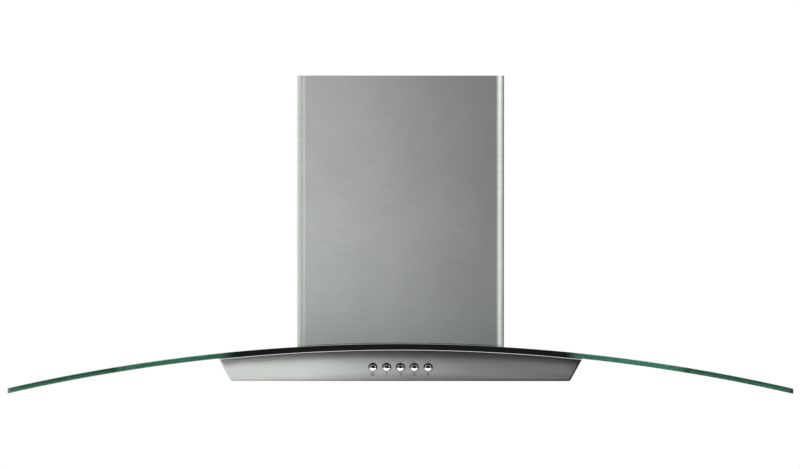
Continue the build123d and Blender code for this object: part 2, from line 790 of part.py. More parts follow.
with BuildPart() as glass_screws:
    for x, y in clamp_places:
        head_base = arc_height(max(abs(x) - clamp_head_radius, 0), flange_crest) + 0.05
        add(rod(x, y, head_base, head_base + clamp_head_height, clamp_head_radius))
        add(rod(x, y, arc_height(abs(x), top_base) - nut_height - 1, head_base + 1, clamp_screw_radius))
save(glass_screws, "glass_screws")

# ---------------------------------------------------------------- scroll casing, impeller and motor
for side, low, high in (("left", -scroll_half, 0), ("right", 0, scroll_half)):
    plate_x = low if side == "left" else high - scroll_wall
    with BuildPart() as scroll:
        with BuildSketch(Plane.YZ.offset(low)):
            with Locations((scroll_y, scroll_z)):
                Circle(scroll_radius)
            with Locations(((throat_front + throat_rear) / 2, scroll_z)):
                Rectangle(throat_width, box_top - box_sheet - scroll_z, align=(Align.CENTER, Align.MIN))
        extrude(amount=high - low)
        with BuildSketch(Plane.YZ.offset(low + (scroll_wall if side == "left" else -1))):
            with Locations((scroll_y, scroll_z)):
                Circle(scroll_radius - scroll_wall)
            with Locations(((throat_front + throat_rear) / 2, scroll_z)):
                Rectangle(throat_width - 2 * scroll_wall, box_top - scroll_z, align=(Align.CENTER, Align.MIN))
        extrude(amount=high - low - scroll_wall + 1, mode=Mode.SUBTRACT)
        hole = inlet_radius if side == "left" else shaft_hole
        add(cross_rod(plate_x - 1, plate_x + scroll_wall + 1, impeller_y, impeller_z, hole),
            mode=Mode.SUBTRACT)
        if side == "right":
            for angle in (45, 135, 225, 315):
                add(cross_rod(0, scroll_half + 1, impeller_y + motor_screw_ring * cos(radians(angle)),
                              impeller_z + motor_screw_ring * sin(radians(angle)),
                              motor_screw_radius + 0.1), mode=Mode.SUBTRACT)
    save(scroll, f"scroll_{side}")

motor_face = scroll_half + bracket_sheet
with BuildPart() as motor_bracket:
    add(cross_rod(scroll_half, motor_face, impeller_y, impeller_z, bracket_radius))
    add(cross_rod(scroll_half - 1, motor_face + 1, impeller_y, impeller_z, bracket_hole), mode=Mode.SUBTRACT)
    for angle in (45, 135, 225, 315):
        add(cross_rod(scroll_half - 1, motor_face + 1, impeller_y + motor_screw_ring * cos(radians(angle)),
                      impeller_z + motor_screw_ring * sin(radians(angle)), motor_screw_radius + 0.1),
            mode=Mode.SUBTRACT)
save(motor_bracket, "motor_bracket")

with BuildPart() as motor:
    add(cross_rod(motor_face, motor_face + motor_length, impeller_y, impeller_z, motor_radius))
    fillet(motor.faces().sort_by(Axis.X)[-1].edges(), motor_round)
    add(cross_rod(motor_face, motor_face + motor_flange, impeller_y, impeller_z, motor_flange_radius))
    add(cross_rod(motor_face + motor_length - 1, motor_face + motor_length + motor_boss_length,
                  impeller_y, impeller_z, motor_boss))
    add(cross_rod(motor_face - 1, motor_face + motor_bore_depth, impeller_y, impeller_z,
                  shaft_radius + shaft_gap), mode=Mode.SUBTRACT)
    for angle in (45, 135, 225, 315):
        add(cross_rod(motor_face - 1, motor_face + motor_flange + 1,
                      impeller_y + motor_screw_ring * cos(radians(angle)),
                      impeller_z + motor_screw_ring * sin(radians(angle)), motor_screw_radius + 0.1),
            mode=Mode.SUBTRACT)
save(motor, "motor")

with BuildPart() as motor_screws:
    for angle in (45, 135, 225, 315):
        y = impeller_y + motor_screw_ring * cos(radians(angle))
        z = impeller_z + motor_screw_ring * sin(radians(angle))
        add(cross_rod(scroll_half - scroll_wall, motor_face + motor_flange + 1, y, z, motor_screw_radius))
        add(cross_rod(motor_face + motor_flange, motor_face + motor_flange + motor_head_height, y, z,
                      motor_head_radius))
save(motor_screws, "motor_screws")

with BuildPart() as impeller:
    back = impeller_half - impeller_disc
    add(cross_rod(back, impeller_half, impeller_y, impeller_z, impeller_radius))
    add(cross_rod(impeller_half - hub_length, impeller_half, impeller_y, impeller_z, hub_radius))
    with BuildSketch(Plane.YZ.offset(-impeller_half)):
        with Locations((impeller_y, impeller_z)):
            with PolarLocations(impeller_radius - blade_length / 2, blade_count):
                Rectangle(blade_length, blade_sheet, rotation=blade_angle)
    extrude(amount=2 * impeller_half - impeller_disc + 0.5)
    with BuildSketch(Plane.YZ.offset(-impeller_half)):
        with Locations((impeller_y, impeller_z)):
            Circle(impeller_radius)
            Circle(impeller_radius - blade_length, mode=Mode.SUBTRACT)
    extrude(amount=impeller_disc)
    add(cross_rod(-impeller_half, impeller_half + 1, impeller_y, impeller_z, shaft_radius + hub_gap),
        mode=Mode.SUBTRACT)
save(impeller, "impeller")

with BuildPart() as motor_shaft:
    add(cross_rod(impeller_half - hub_length - 2, motor_face + motor_bore_depth - 1,
                  impeller_y, impeller_z, shaft_radius))
    chamfer(motor_shaft.edges().filter_by(GeomType.CIRCLE), 0.5)
save(motor_shaft, "motor_shaft")

with BuildPart() as capacitor:
    add(cross_rod(-box_half + box_sheet, -box_half + box_sheet + capacitor_length, capacitor_y, capacitor_z,
                  capacitor_radius))
    fillet(capacitor.faces().sort_by(Axis.X)[-1].edges(), 2)
save(capacitor, "capacitor")

# ---------------------------------------------------------------- outlet collar and flaps
collar_inner = collar_radius - collar_wall
with BuildPart() as outlet_collar:
    add(rod(0, collar_y, box_top, collar_floor, collar_base_radius))
    add(rod(0, collar_y, box_top, box_top + collar_height, collar_radius))
    add(rod(0, collar_y, collar_floor, box_top + collar_height + 1, collar_inner), mode=Mode.SUBTRACT)
    with BuildPart(mode=Mode.PRIVATE) as ledge:
        ledge_top = spindle_z - flap_sheet / 2 - flap_seat
        add(rod(0, collar_y, ledge_top - ledge_height, ledge_top, collar_inner + 0.5))
        add(rod(0, collar_y, 0, spindle_z, collar_inner - ledge_width), mode=Mode.SUBTRACT)
        add(cross_rod(-collar_radius, collar_radius, collar_y, spindle_z, knuckle_radius + 1),
            mode=Mode.SUBTRACT)
    add(ledge.part)
    add(plate(-scroll_half + scroll_wall, scroll_half - scroll_wall, throat_front + scroll_wall,
              throat_rear - scroll_wall, box_top - 5, collar_floor + 1), mode=Mode.SUBTRACT)
    add(cross_rod(-collar_inner - spindle_seat, collar_inner + spindle_seat, collar_y, spindle_z,
                  spindle_radius + spindle_gap), mode=Mode.SUBTRACT)
    for angle in (30, 150, 210, 330):
        add(rod(collar_screw_ring * cos(radians(angle)), collar_y + collar_screw_ring * sin(radians(angle)),
                box_top - 1, collar_floor + 1, collar_screw_radius + 0.1), mode=Mode.SUBTRACT)
save(outlet_collar, "outlet_collar")

with BuildPart() as collar_screws:
    for angle in (30, 150, 210, 330):
        x = collar_screw_ring * cos(radians(angle))
        y = collar_y + collar_screw_ring * sin(radians(angle))
        add(rod(x, y, box_top - box_sheet - 2, collar_floor + 0.5, collar_screw_radius))
        add(rod(x, y, collar_floor, collar_floor + collar_head_height, collar_head_radius))
save(collar_screws, "collar_screws")

with BuildPart() as flap_spindle:
    add(cross_rod(-collar_inner - spindle_seat + 0.1, collar_inner + spindle_seat - 0.1, collar_y, spindle_z,
                  spindle_radius))
save(flap_spindle, "flap_spindle")

for side, sy, knuckles in (("front", -1, (-2, 0, 2)), ("rear", 1, (-1, 1))):
    with BuildPart() as flap:
        add(rod(0, collar_y, spindle_z - flap_sheet / 2, spindle_z + flap_sheet / 2, flap_radius))
        low, high = sorted((collar_y + sy * flap_root, collar_y - sy * 2 * flap_radius))
        add(plate(-flap_radius - 1, flap_radius + 1, low, high, spindle_z - 5, spindle_z + 5),
            mode=Mode.SUBTRACT)
        for place in knuckles:
            middle = place * knuckle_pitch
            low, high = sorted((collar_y, collar_y + sy * (flap_root + 1)))
            add(plate(middle - knuckle_length / 2, middle + knuckle_length / 2, low, high,
                      spindle_z - flap_sheet / 2, spindle_z + flap_sheet / 2))
            add(cross_rod(middle - knuckle_length / 2, middle + knuckle_length / 2, collar_y, spindle_z,
                          knuckle_radius))
        add(cross_rod(-flap_radius, flap_radius, collar_y, spindle_z, spindle_radius + spindle_gap),
            mode=Mode.SUBTRACT)
    save(flap, f"flap_{side}")

# ---------------------------------------------------------------- terminal box
terminal_low_x = terminal_x - terminal_wide / 2
terminal_high_x = terminal_x + terminal_wide / 2
terminal_front = terminal_y - terminal_deep / 2
terminal_rear = terminal_y + terminal_deep / 2
terminal_crest = box_top + terminal_high
with BuildPart() as terminal_box:
    add(plate(terminal_low_x, terminal_high_x, terminal_front, terminal_rear, box_top, terminal_crest))
    add(plate(terminal_low_x + terminal_wall, terminal_high_x - terminal_wall, terminal_front - 1,
              terminal_rear - terminal_wall, box_top + terminal_wall, terminal_crest - terminal_wall),
        mode=Mode.SUBTRACT)
    add(rod(terminal_x, terminal_y, box_top - 1, terminal_crest + 1, gland_body + 0.1), mode=Mode.SUBTRACT)
save(terminal_box, "terminal_box")

with BuildPart() as terminal_cover:
    add(plate(terminal_low_x, terminal_high_x, terminal_front - terminal_wall, terminal_front,
              box_top + 0.2, terminal_crest))
    fillet(terminal_cover.edges().filter_by(Axis.Y), 1)
save(terminal_cover, "terminal_cover")

with BuildPart() as cable_gland:
    with BuildSketch(Plane.XY.offset(terminal_crest)):
        with Locations((terminal_x, terminal_y)):
            RegularPolygon(gland_hex, 6)
    extrude(amount=gland_hex_height)
    gland_top = terminal_crest + gland_hex_height + gland_dome_height
    add(rod(terminal_x, terminal_y, terminal_crest + gland_hex_height, gland_top, gland_dome))
    fillet(cable_gland.faces().sort_by(Axis.Z)[-1].edges(), 2)
    add(rod(terminal_x, terminal_y, terminal_crest - gland_tail, terminal_crest + 1, gland_body))
    add(rod(terminal_x, terminal_y, terminal_crest - gland_tail - 1, gland_top + 1, gland_bore),
        mode=Mode.SUBTRACT)
save(cable_gland, "cable_gland")


# ---------------------------------------------------------------- chimney
def draw_channel(half, front, rear, corner, flange):
    """Draws a sheet channel that is open to the wall between two turned-in flanges."""
    with Locations((0, (front + rear) / 2)):
        outer = Rectangle(2 * half, rear - front)
    fillet(outer.vertices().group_by(Axis.Y)[0], corner)
    with BuildSketch(mode=Mode.PRIVATE) as hollow:
        with Locations((0, (front + rear) / 2)):
            inside = Rectangle(2 * (half - steel), rear - front - 2 * steel)
        fillet(inside.vertices().group_by(Axis.Y)[0], corner - steel)
    add(hollow.sketch, mode=Mode.SUBTRACT)
    with Locations((0, rear)):
        Rectangle(2 * (half - flange), 4 * steel, mode=Mode.SUBTRACT)


with BuildPart() as lower_chimney:
    with BuildSketch(Plane.XY):
        draw_channel(chimney_width / 2, -chimney_depth, 0, chimney_round, chimney_flange)
    extrude(amount=chimney_top)
    add(arc_band(glass_radius + chimney_glass_gap, None), mode=Mode.SUBTRACT)
save(lower_chimney, "lower_chimney")

upper_inset = steel + nest_gap
with BuildPart() as upper_chimney:
    with BuildSketch(Plane.XY.offset(upper_bottom)):
        draw_channel(sleeve_half, -chimney_depth + upper_inset, -upper_inset, chimney_round - upper_inset,
                     chimney_flange)
    extrude(amount=chimney_top - upper_drop - upper_bottom)
save(upper_chimney, "upper_chimney")

shelf_top = upper_bottom - ledge_gap
shelf_end = chimney_width / 2 - steel - ledge_gap
with BuildPart() as chimney_brackets:
    for sx in (-1, 1):
        low_y, high_y = bracket_y - bracket_width / 2, bracket_y + bracket_width / 2
        inner, outer = sorted((sx * box_half, sx * (box_half + ledge_sheet)))
        add(plate(inner, outer, low_y, high_y, shelf_top - ledge_sheet, shelf_top + bracket_leg))
        inner, outer = sorted((sx * box_half, sx * shelf_end))
        add(plate(inner, outer, low_y, high_y, shelf_top - ledge_sheet, shelf_top))
        inner, outer = sorted((sx * (shelf_end - ledge_sheet), sx * shelf_end))
        add(plate(inner, outer, low_y, high_y, shelf_top - ledge_sheet - bracket_lip, shelf_top))
        add(cross_rod(sx * box_half - 3, sx * box_half + 3, bracket_y, upper_bottom + bracket_leg / 2,
                      bracket_screw_radius + 0.1), mode=Mode.SUBTRACT)
save(chimney_brackets, "chimney_brackets")

with BuildPart() as chimney_screws:
    for sx in (-1, 1):
        z = upper_bottom + bracket_leg / 2
        inner, outer = sorted((sx * (box_half - box_sheet - 2), sx * (box_half + ledge_sheet + 0.5)))
        add(cross_rod(inner, outer, bracket_y, z, bracket_screw_radius))
        inner, outer = sorted((sx * (box_half + ledge_sheet),
                               sx * (box_half + ledge_sheet + bracket_head_height)))
        add(cross_rod(inner, outer, bracket_y, z, bracket_head_radius))
save(chimney_screws, "chimney_screws")

strap_top = chimney_top - upper_drop - strap_below_top + strap_height
strap_low = strap_top - strap_height
strap_inner = chimney_width / 2 - chimney_flange - 1.5
strap_step = -upper_inset - steel - strap_step_gap
strap_half = sleeve_half - steel - strap_side_gap
with BuildPart() as upper_chimney_bracket:
    add(plate(-strap_inner, strap_inner, -strap_sheet, 0, strap_low, strap_top))
    for sx in (-1, 1):
        inner, outer = sorted((sx * (strap_inner - strap_sheet), sx * strap_inner))
        add(plate(inner, outer, strap_step - strap_sheet, 0, strap_low, strap_top))
        inner, outer = sorted((sx * (strap_inner - strap_sheet), sx * strap_half))
        add(plate(inner, outer, strap_step - strap_sheet, strap_step, strap_low, strap_top))
        inner, outer = sorted((sx * (strap_half - strap_sheet), sx * strap_half))
        add(plate(inner, outer, strap_step - strap_ear, strap_step, strap_low, strap_top))
        add(deep_rod(sx * strap_hole_x, -5, 5, (strap_low + strap_top) / 2, strap_hole_radius),
            mode=Mode.SUBTRACT)
save(upper_chimney_bracket, "upper_chimney_bracket")
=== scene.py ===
"""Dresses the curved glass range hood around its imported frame, and sets its studio.

Lengths are metres. +X is the hood's right as seen from the front, +Y runs into the wall and +Z is up.
"""

import logging
import math
from dataclasses import dataclass, field
from enum import Enum
from typing import Optional, Sequence

import bmesh
import bpy
import numpy as np
from mathutils import Matrix, Vector


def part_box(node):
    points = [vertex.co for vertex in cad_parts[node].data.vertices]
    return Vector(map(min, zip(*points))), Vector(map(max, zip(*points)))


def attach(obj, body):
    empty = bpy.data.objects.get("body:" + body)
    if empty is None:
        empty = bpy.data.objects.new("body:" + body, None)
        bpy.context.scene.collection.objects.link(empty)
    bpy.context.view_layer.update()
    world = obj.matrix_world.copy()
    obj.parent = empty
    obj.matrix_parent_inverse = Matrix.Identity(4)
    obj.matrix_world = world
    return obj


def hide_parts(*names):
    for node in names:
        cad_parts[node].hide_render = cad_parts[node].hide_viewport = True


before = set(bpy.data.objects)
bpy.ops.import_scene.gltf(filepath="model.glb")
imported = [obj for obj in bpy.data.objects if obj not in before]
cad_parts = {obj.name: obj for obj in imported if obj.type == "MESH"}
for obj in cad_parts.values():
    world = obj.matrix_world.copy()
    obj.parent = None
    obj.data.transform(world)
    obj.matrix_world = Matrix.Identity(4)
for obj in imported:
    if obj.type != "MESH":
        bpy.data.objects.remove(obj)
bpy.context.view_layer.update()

LOG = logging.getLogger("range_hood")
MM = 0.001
WELD = 0.002 * MM
RIGHT, UP = np.array([1.0, 0, 0]), np.array([0, 0, 1.0])
# Half the width of the glass, the X at which its wings begin, and the values that most of a noise lies between.
HALF_WIDTH = 0.45
ELBOW_HALF = 0.327
NOISE_ENDS = (0.3, 0.7)

Array = np.ndarray
Tree = bpy.types.NodeTree
Node = bpy.types.Node
Thing = bpy.types.Object
Triple = tuple[float, float, float]
Size = float | Triple
Stops = tuple[tuple[float, float], ...]


# ---------------- small helpers
def linear(colour: str) -> tuple[float, float, float, float]:
    """Turns an sRGB hex colour into linear light.

    Args:
        colour: six hex digits, such as "8FA39A".

    Returns:
        Red, green and blue in linear light, with an alpha of 1.
    """
    shares = np.array([int(colour[i : i + 2], 16) for i in (0, 2, 4)]) / 255
    low, high = shares / 12.92, ((shares + 0.055) / 1.055) ** 2.4
    return (*np.where(shares <= 0.04045, low, high).tolist(), 1.0)


def add_node(tree: Tree, kind: str, inputs: Optional[dict] = None, **settings) -> Node:
    """Adds one node with its settings, values and links.

    Args:
        tree: the node tree.
        kind: its type, without the words that every type starts with.
        inputs: each input's value, or the output or node, for its first output, that it is linked to.
        settings: its own properties.

    Returns:
        The new node.
    """
    node = tree.nodes.new(f"ShaderNode{kind}")
    for name, value in settings.items():
        setattr(node, name, value)
    for name, value in (inputs or {}).items():
        if isinstance(value, bpy.types.Node):
            value = value.outputs[0]
        if isinstance(value, bpy.types.NodeSocket):
            tree.links.new(value, node.inputs[name])
        else:
            node.inputs[name].default_value = value
    return node


def empty_tree(owner: bpy.types.ID) -> Tree:
    """Gives the emptied node tree of a material, lamp or world.

    Args:
        owner: what has the tree.

    Returns:
        The tree.
    """
    owner.use_nodes = True
    owner.node_tree.nodes.clear()
    return owner.node_tree


def add_object(name: str, data: bpy.types.ID) -> Thing:
    """Puts a new object into the scene, at the origin.

    Args:
        name: its name.
        data: its mesh, lamp or camera.

    Returns:
        The object.
    """
    thing = bpy.data.objects.new(name, data)
    bpy.context.scene.collection.objects.link(thing)
    return thing


def grid_faces(rows: int, columns: int, wrap: bool = False) -> Array:
    """Gives the four corners of each face of a grid of points, numbered row by row.

    Args:
        rows: points along the first parameter.
        columns: points along the second parameter.
        wrap: whether the last column joins the first.

    Returns:
        An array of faces by four corners.
    """
    i, j = np.meshgrid(np.arange(rows - 1), np.arange(columns if wrap else columns - 1), indexing="ij")
    k = (j + 1) % columns
    corners = [i * columns + j, (i + 1) * columns + j, (i + 1) * columns + k, i * columns + k]
    return np.stack(corners, axis=-1).reshape(-1, 4)


def fillet_arc(before: Sequence[float], corner: Sequence[float], after: Sequence[float],
               radius: float, count: int) -> Array:
    """Rounds one corner of a plan outline with the circle that touches both of its sides.

    The circle's middle lies on the corner's bisector, radius / cos(half the turn) away.

    Args:
        before: a point on the first side.
        corner: the sharp corner.
        after: a point on the second side.
        radius: the circle's radius.
        count: the points on the arc.

    Returns:
        The arc's points, from the first side to the second.
    """
    before, corner, after = (np.asarray(p, float) for p in (before, corner, after))
    come = (corner - before) / np.linalg.norm(corner - before)
    go = (after - corner) / np.linalg.norm(after - corner)
    half_turn = math.acos(np.clip(come @ go, -1, 1)) / 2
    bisector = (go - come) / np.linalg.norm(go - come)
    middle = corner + bisector * radius / math.cos(half_turn)
    start = corner - come * radius * math.tan(half_turn) - middle
    turn = np.sign(come[0] * go[1] - come[1] * go[0])
    angle = np.linspace(0, 2 * half_turn * turn, count)
    return middle + np.outer(np.cos(angle), start) + np.outer(np.sin(angle), [-start[1], start[0]])


def bars(paths: Array, across: Array, up: Array, width: float, height: float
         ) -> tuple[Array, Array]:
    """Carries a rectangle along each path and closes its ends.

    Args:
        paths: strands by stations by 3, each strand's middle line.
        across: a unit vector across each station.
        up: the unit vector along the rectangle's height.
        width: its size across.
        height: its size along up.

    Returns:
        The points and the faces.
    """
    corners = [(-1, -1), (1, -1), (1, 1), (-1, 1)]
    rings = [paths + across * (sx * width / 2) + up * (sz * height / 2) for sx, sz in corners]
    points = np.stack(rings, axis=2)
    strands, stations = paths.shape[:2]
    shift = np.arange(strands)[:, None, None] * stations * 4
    walls = (grid_faces(stations, 4, wrap=True)[None] + shift).reshape(-1, 4)
    foot = np.arange(4)[None] + shift[:, :, 0]
    head = foot[:, ::-1] + (stations - 1) * 4
    return points.reshape(-1, 3), np.concatenate([walls, foot, head])


def joined(parts: Sequence[tuple[Array, Array]]) -> tuple[Array, Array]:
    """Joins several shapes into one.

    Args:
        parts: each shape's points and faces.

    Returns:
        All points, and all faces, whose numbers move on by the points before them.
    """
    points, faces = zip(*parts)
    starts = np.cumsum([0] + [len(some) for some in points])
    return np.concatenate(points), np.concatenate([some + start for some, start in zip(faces, starts)])


def lathe(profile: Array, origin: Array, axis: Array, count: int
          ) -> tuple[Array, Array]:
    """Turns a profile about an axis square to X: each point goes round a circle of its own radius.

    Args:
        profile: points by (radius, height along the axis).
        origin: where the height is 0 on the axis.
        axis: the axis's unit vector.
        count: the points round each circle.

    Returns:
        The points and the faces.
    """
    angle = np.linspace(0, 2 * np.pi, count, endpoint=False)
    around = np.outer(np.cos(angle), RIGHT) + np.outer(np.sin(angle), np.cross(axis, RIGHT))
    points = origin + profile[:, :1, None] * around + profile[:, 1:, None] * axis
    return points.reshape(-1, 3), grid_faces(len(profile), count, wrap=True)


def welded(mesh: bpy.types.Mesh) -> bmesh.types.BMesh:
    """Opens a mesh for edits.

    Args:
        mesh: the mesh.

    Returns:
        Its shape, with double points welded.
    """
    shape = bmesh.new()
    shape.from_mesh(mesh)
    bmesh.ops.remove_doubles(shape, verts=shape.verts, dist=WELD)
    return shape


def finish_mesh(mesh: bpy.types.Mesh, shape: bmesh.types.BMesh, sharp_degrees: float) -> Thing:
    """Writes a shape into a mesh, facing outwards and smooth between sharp edges.

    Args:
        mesh: the mesh that takes it.
        shape: the shape.
        sharp_degrees: edges that turn more than this stay sharp.

    Returns:
        The mesh's new object, at the origin.
    """
    bmesh.ops.recalc_face_normals(shape, faces=shape.faces)
    shape.to_mesh(mesh)
    shape.free()
    mesh.shade_smooth()
    mesh.set_sharp_from_angle(angle=math.radians(sharp_degrees))
    return add_object(mesh.name, mesh)


def make_mesh(name: str, points: Array, faces: Array | list, sharp_degrees: float = 30.0) -> Thing:
    """Puts points and faces into a new object, welded and finished.

    Args:
        name: the piece's name.
        points: points by 3.
        faces: the corners of each face.
        sharp_degrees: edges that turn more than this stay sharp.

    Returns:
        The new object, at the origin.
    """
    mesh = bpy.data.meshes.new(name)
    mesh.from_pydata(points.tolist(), [], faces.tolist() if isinstance(faces, Array) else faces)
    return finish_mesh(mesh, welded(mesh), sharp_degrees)


# ---------------- finishes
@dataclass(frozen=True)
class Finish:
    """A finish of the hood, which makes its material once."""

    name: str

    def material(self) -> bpy.types.Material:
        """Gives the finish's material, made on first use.

        Returns:
            The material.
        """
        made = bpy.data.materials.get(self.name)
        if made is None:
            made = bpy.data.materials.new(self.name)
            tree = empty_tree(made)
            add_node(tree, "OutputMaterial", self.shade(tree))
        return made

    def shade(self, tree: Tree) -> dict[str, Node]:
        """Adds the finish's nodes and gives what the output takes, by the name of its input."""
        raise NotImplementedError

    @staticmethod
    def pattern(tree: Tree, kind: str, size_mm: Size, **values) -> Node:
        """Adds a pattern on Object coordinates whose features have a real size.

        Args:
            tree: the node tree.
            kind: the texture node's type.
            size_mm: a feature's size in millimetres, or its three sizes along X, Y and Z.
            values: the texture's input values.

        Returns:
            The texture node.
        """
        spot = add_node(tree, "TexCoord")
        scale = 1 / (np.broadcast_to(size_mm, 3) * MM)
        stretch = add_node(tree, "Mapping", {"Vector": spot.outputs["Object"], "Scale": scale})
        return add_node(tree, kind, {"Vector": stretch, "Scale": 1.0, **values})


@dataclass(frozen=True)
class MottledFinish(Finish):
    """A finish whose tone and gloss follow one noise, and its bumps another of the same detail.

    Args:
        dark: its darker tone, as sRGB hex.
        light: its lighter tone.
        ends: the noise values at which the two tones stand.
        roughness: its middle roughness.
        swing: how far its roughness goes to both sides.
        marks_mm: the size of the marks that shift tone and gloss.
        detail: the noises' detail.
        bumps_mm: the size of its bumps, 0 on a smooth finish. They have their own strength and depth.
        constants: values on the shader's own sockets. A metal keeps the default IOR.
    """

    dark: str = "D2D3D2"
    light: str = "DDDEDC"
    ends: tuple[float, float] = NOISE_ENDS
    roughness: float = 0.08
    swing: float = 0.02
    marks_mm: Size = 3.0
    detail: float = 4.0
    bumps_mm: Size = 0.0
    strength: float = 0.3
    depth: float = 0.02 * MM
    constants: tuple[tuple[str, float], ...] = (("Metallic", 1.0),)

    def shade(self, tree: Tree) -> dict[str, Node]:
        """Adds the two noises and the shader.

        Args:
            tree: the node tree.

        Returns:
            The surface.
        """
        marks = self.pattern(tree, "TexNoise", self.marks_mm, Detail=self.detail)
        bumps = self.pattern(tree, "TexNoise", self.bumps_mm, Detail=self.detail) if self.bumps_mm else None
        return self.surface(tree, marks, marks, bumps)

    def surface(self, tree: Tree, tone_by: Node, gloss_by: Node, bumps: Optional[Node] = None,
                **more) -> dict[str, Node]:
        """Adds the shader, with its tone, gloss and bumps.

        Args:
            tree: the node tree.
            tone_by: the pattern that its tone follows.
            gloss_by: the pattern that its gloss follows.
            bumps: the pattern that its height follows.
            more: further values of the shader.

        Returns:
            The surface.
        """
        tone = add_node(tree, "ValToRGB", {"Fac": tone_by})
        for stop, at, colour in zip(tone.color_ramp.elements, self.ends, (self.dark, self.light)):
            stop.position, stop.color = at, linear(colour)
        gloss = add_node(tree, "MapRange", {
            "Value": gloss_by, "From Min": NOISE_ENDS[0], "From Max": NOISE_ENDS[1],
            "To Min": self.roughness + self.swing, "To Max": self.roughness - self.swing})
        values = {"Base Color": tone, "Roughness": gloss, **dict(self.constants), **more}
        if bumps is not None:
            values["Normal"] = add_node(tree, "Bump", {
                "Height": bumps, "Strength": self.strength, "Distance": self.depth})
        return {"Surface": add_node(tree, "BsdfPrincipled", values)}


class PolishedMetal(MottledFinish):
    """Metal buffed to a mirror: bright, with faint buffing marks about 3 mm across in its gloss."""


class Brushing(Enum):
    """Which way a sheet's grain runs: the size of a grain line along X, Y and Z, in millimetres."""

    UPRIGHT_SHEET = (26.0, 26.0, 0.9)
    LEVEL_SHEET = (26.0, 0.9, 26.0)


@dataclass(frozen=True)
class BrushedStainless(MottledFinish):
    """Cold rolled stainless sheet, brushed along its width with a fine belt.

    Lines of slightly different tone, gloss and height draw reflections out across them. The grit's lines are
    about 0.1 mm apart. They are drawn 0.9 mm apart, which is what shows at this size.
    """

    dark: str = "C2C6C2"
    light: str = "D3D6D2"
    roughness: float = 0.33
    swing: float = 0.03
    detail: float = 3.0
    strength: float = 0.25
    brushing: Brushing = Brushing.UPRIGHT_SHEET
    anisotropy: float = 0.62
    cloud_mm: Size = 60.0
    cloud_share: float = 0.3

    def shade(self, tree: Tree) -> dict[str, Node]:
        """Adds the brushed grain, a soft cloud in its tone, and gloss that spreads across the grain.

        Args:
            tree: the node tree.

        Returns:
            The surface.
        """
        grain = self.pattern(tree, "TexNoise", self.brushing.value, Detail=self.detail, Roughness=0.62)
        cloud = self.pattern(tree, "TexNoise", self.cloud_mm, Detail=2.0)
        mixed = add_node(tree, "Mix", {"Factor": self.cloud_share, "A": grain, "B": cloud})
        along = add_node(tree, "Tangent", direction_type="RADIAL", axis="Z")
        return self.surface(tree, mixed, grain, grain, **{
            "Tangent": along, "Anisotropic": self.anisotropy, "Anisotropic Rotation": 0.25})


@dataclass(frozen=True)
class ZincCoatedSteel(MottledFinish):
    """Hot-dip galvanised sheet: flat crystals of zinc about 8 mm across, each with its own grey and gloss."""

    dark: str = "A4A9AC"
    light: str = "C4C8CA"
    ends: tuple[float, float] = (0.05, 0.95)
    roughness: float = 0.42
    swing: float = 0.06
    crystal_mm: Size = 8.0
    wander_mm: Size = 5.0

    def shade(self, tree: Tree) -> dict[str, Node]:
        """Adds the crystals as Voronoi cells, each with one tone and gloss.

        Args:
            tree: the node tree.

        Returns:
            The surface.
        """
        wander = self.pattern(tree, "TexNoise", self.wander_mm, Detail=2.0)
        cells = self.pattern(tree, "TexVoronoi", self.crystal_mm)
        single = add_node(tree, "SeparateColor", {"Color": cells.outputs["Color"]})
        mixed = add_node(tree, "Mix", {"Factor": 0.35, "A": single.outputs["Red"], "B": wander})
        return self.surface(tree, mixed, single.outputs["Green"])


@dataclass(frozen=True)
class SatinAluminium(MottledFinish):
    """Mill aluminium: satin, with fine drawn lines along Y."""

    dark: str = "BFC1C3"
    light: str = "D0D2D3"
    roughness: float = 0.36
    swing: float = 0.05
    marks_mm: Size = (1.2, 30.0, 1.2)
    detail: float = 3.0
    bumps_mm: Size = (1.2, 30.0, 1.2)


@dataclass(frozen=True)
class MouldedPlastic(MottledFinish):
    """ABS or a like plastic from a spark-eroded mould: even colour over a fine pebbled grain."""

    dark: str = "1B1C1D"
    light: str = "222324"
    roughness: float = 0.48
    swing: float = 0.05
    marks_mm: Size = 22.0
    detail: float = 2.0
    bumps_mm: Size = 0.6
    strength: float = 0.35
    depth: float = 0.05 * MM
    constants: tuple[tuple[str, float], ...] = (("IOR", 1.53),)


@dataclass(frozen=True)
class StovedPaint(MouldedPlastic):
    """Stoved enamel on steel: smooth, with a slight orange peel about 2 mm across."""

    dark: str = "383B3E"
    light: str = "404347"
    roughness: float = 0.3
    bumps_mm: Size = 2.0


@dataclass(frozen=True)
class CellRubber(MouldedPlastic):
    """Closed cell EPDM strip: matt black with small cells cut open."""

    dark: str = "141414"
    light: str = "1C1C1B"
    roughness: float = 0.82
    bumps_mm: Size = 0.9


@dataclass(frozen=True)
class PrintedInk(MouldedPlastic):
    """Screen-printed ink, baked on: a thin even film, a little grainy at its edge."""

    dark: str = "3A3D3D"
    light: str = "454847"
    roughness: float = 0.55
    bumps_mm: Size = 0.5


@dataclass(frozen=True)
class FrostedGlass(MottledFinish):
    """Lamp glass, acid-etched on its inner face: a fine grain that spreads the light."""

    dark: str = "E6E7E0"
    light: str = "F4F4EE"
    roughness: float = 0.44
    swing: float = 0.06
    marks_mm: Size = 0.8
    detail: float = 2.0
    bumps_mm: Size = 0.8
    depth: float = 0.05 * MM
    constants: tuple[tuple[str, float], ...] = (("IOR", 1.5), ("Transmission Weight", 0.7))


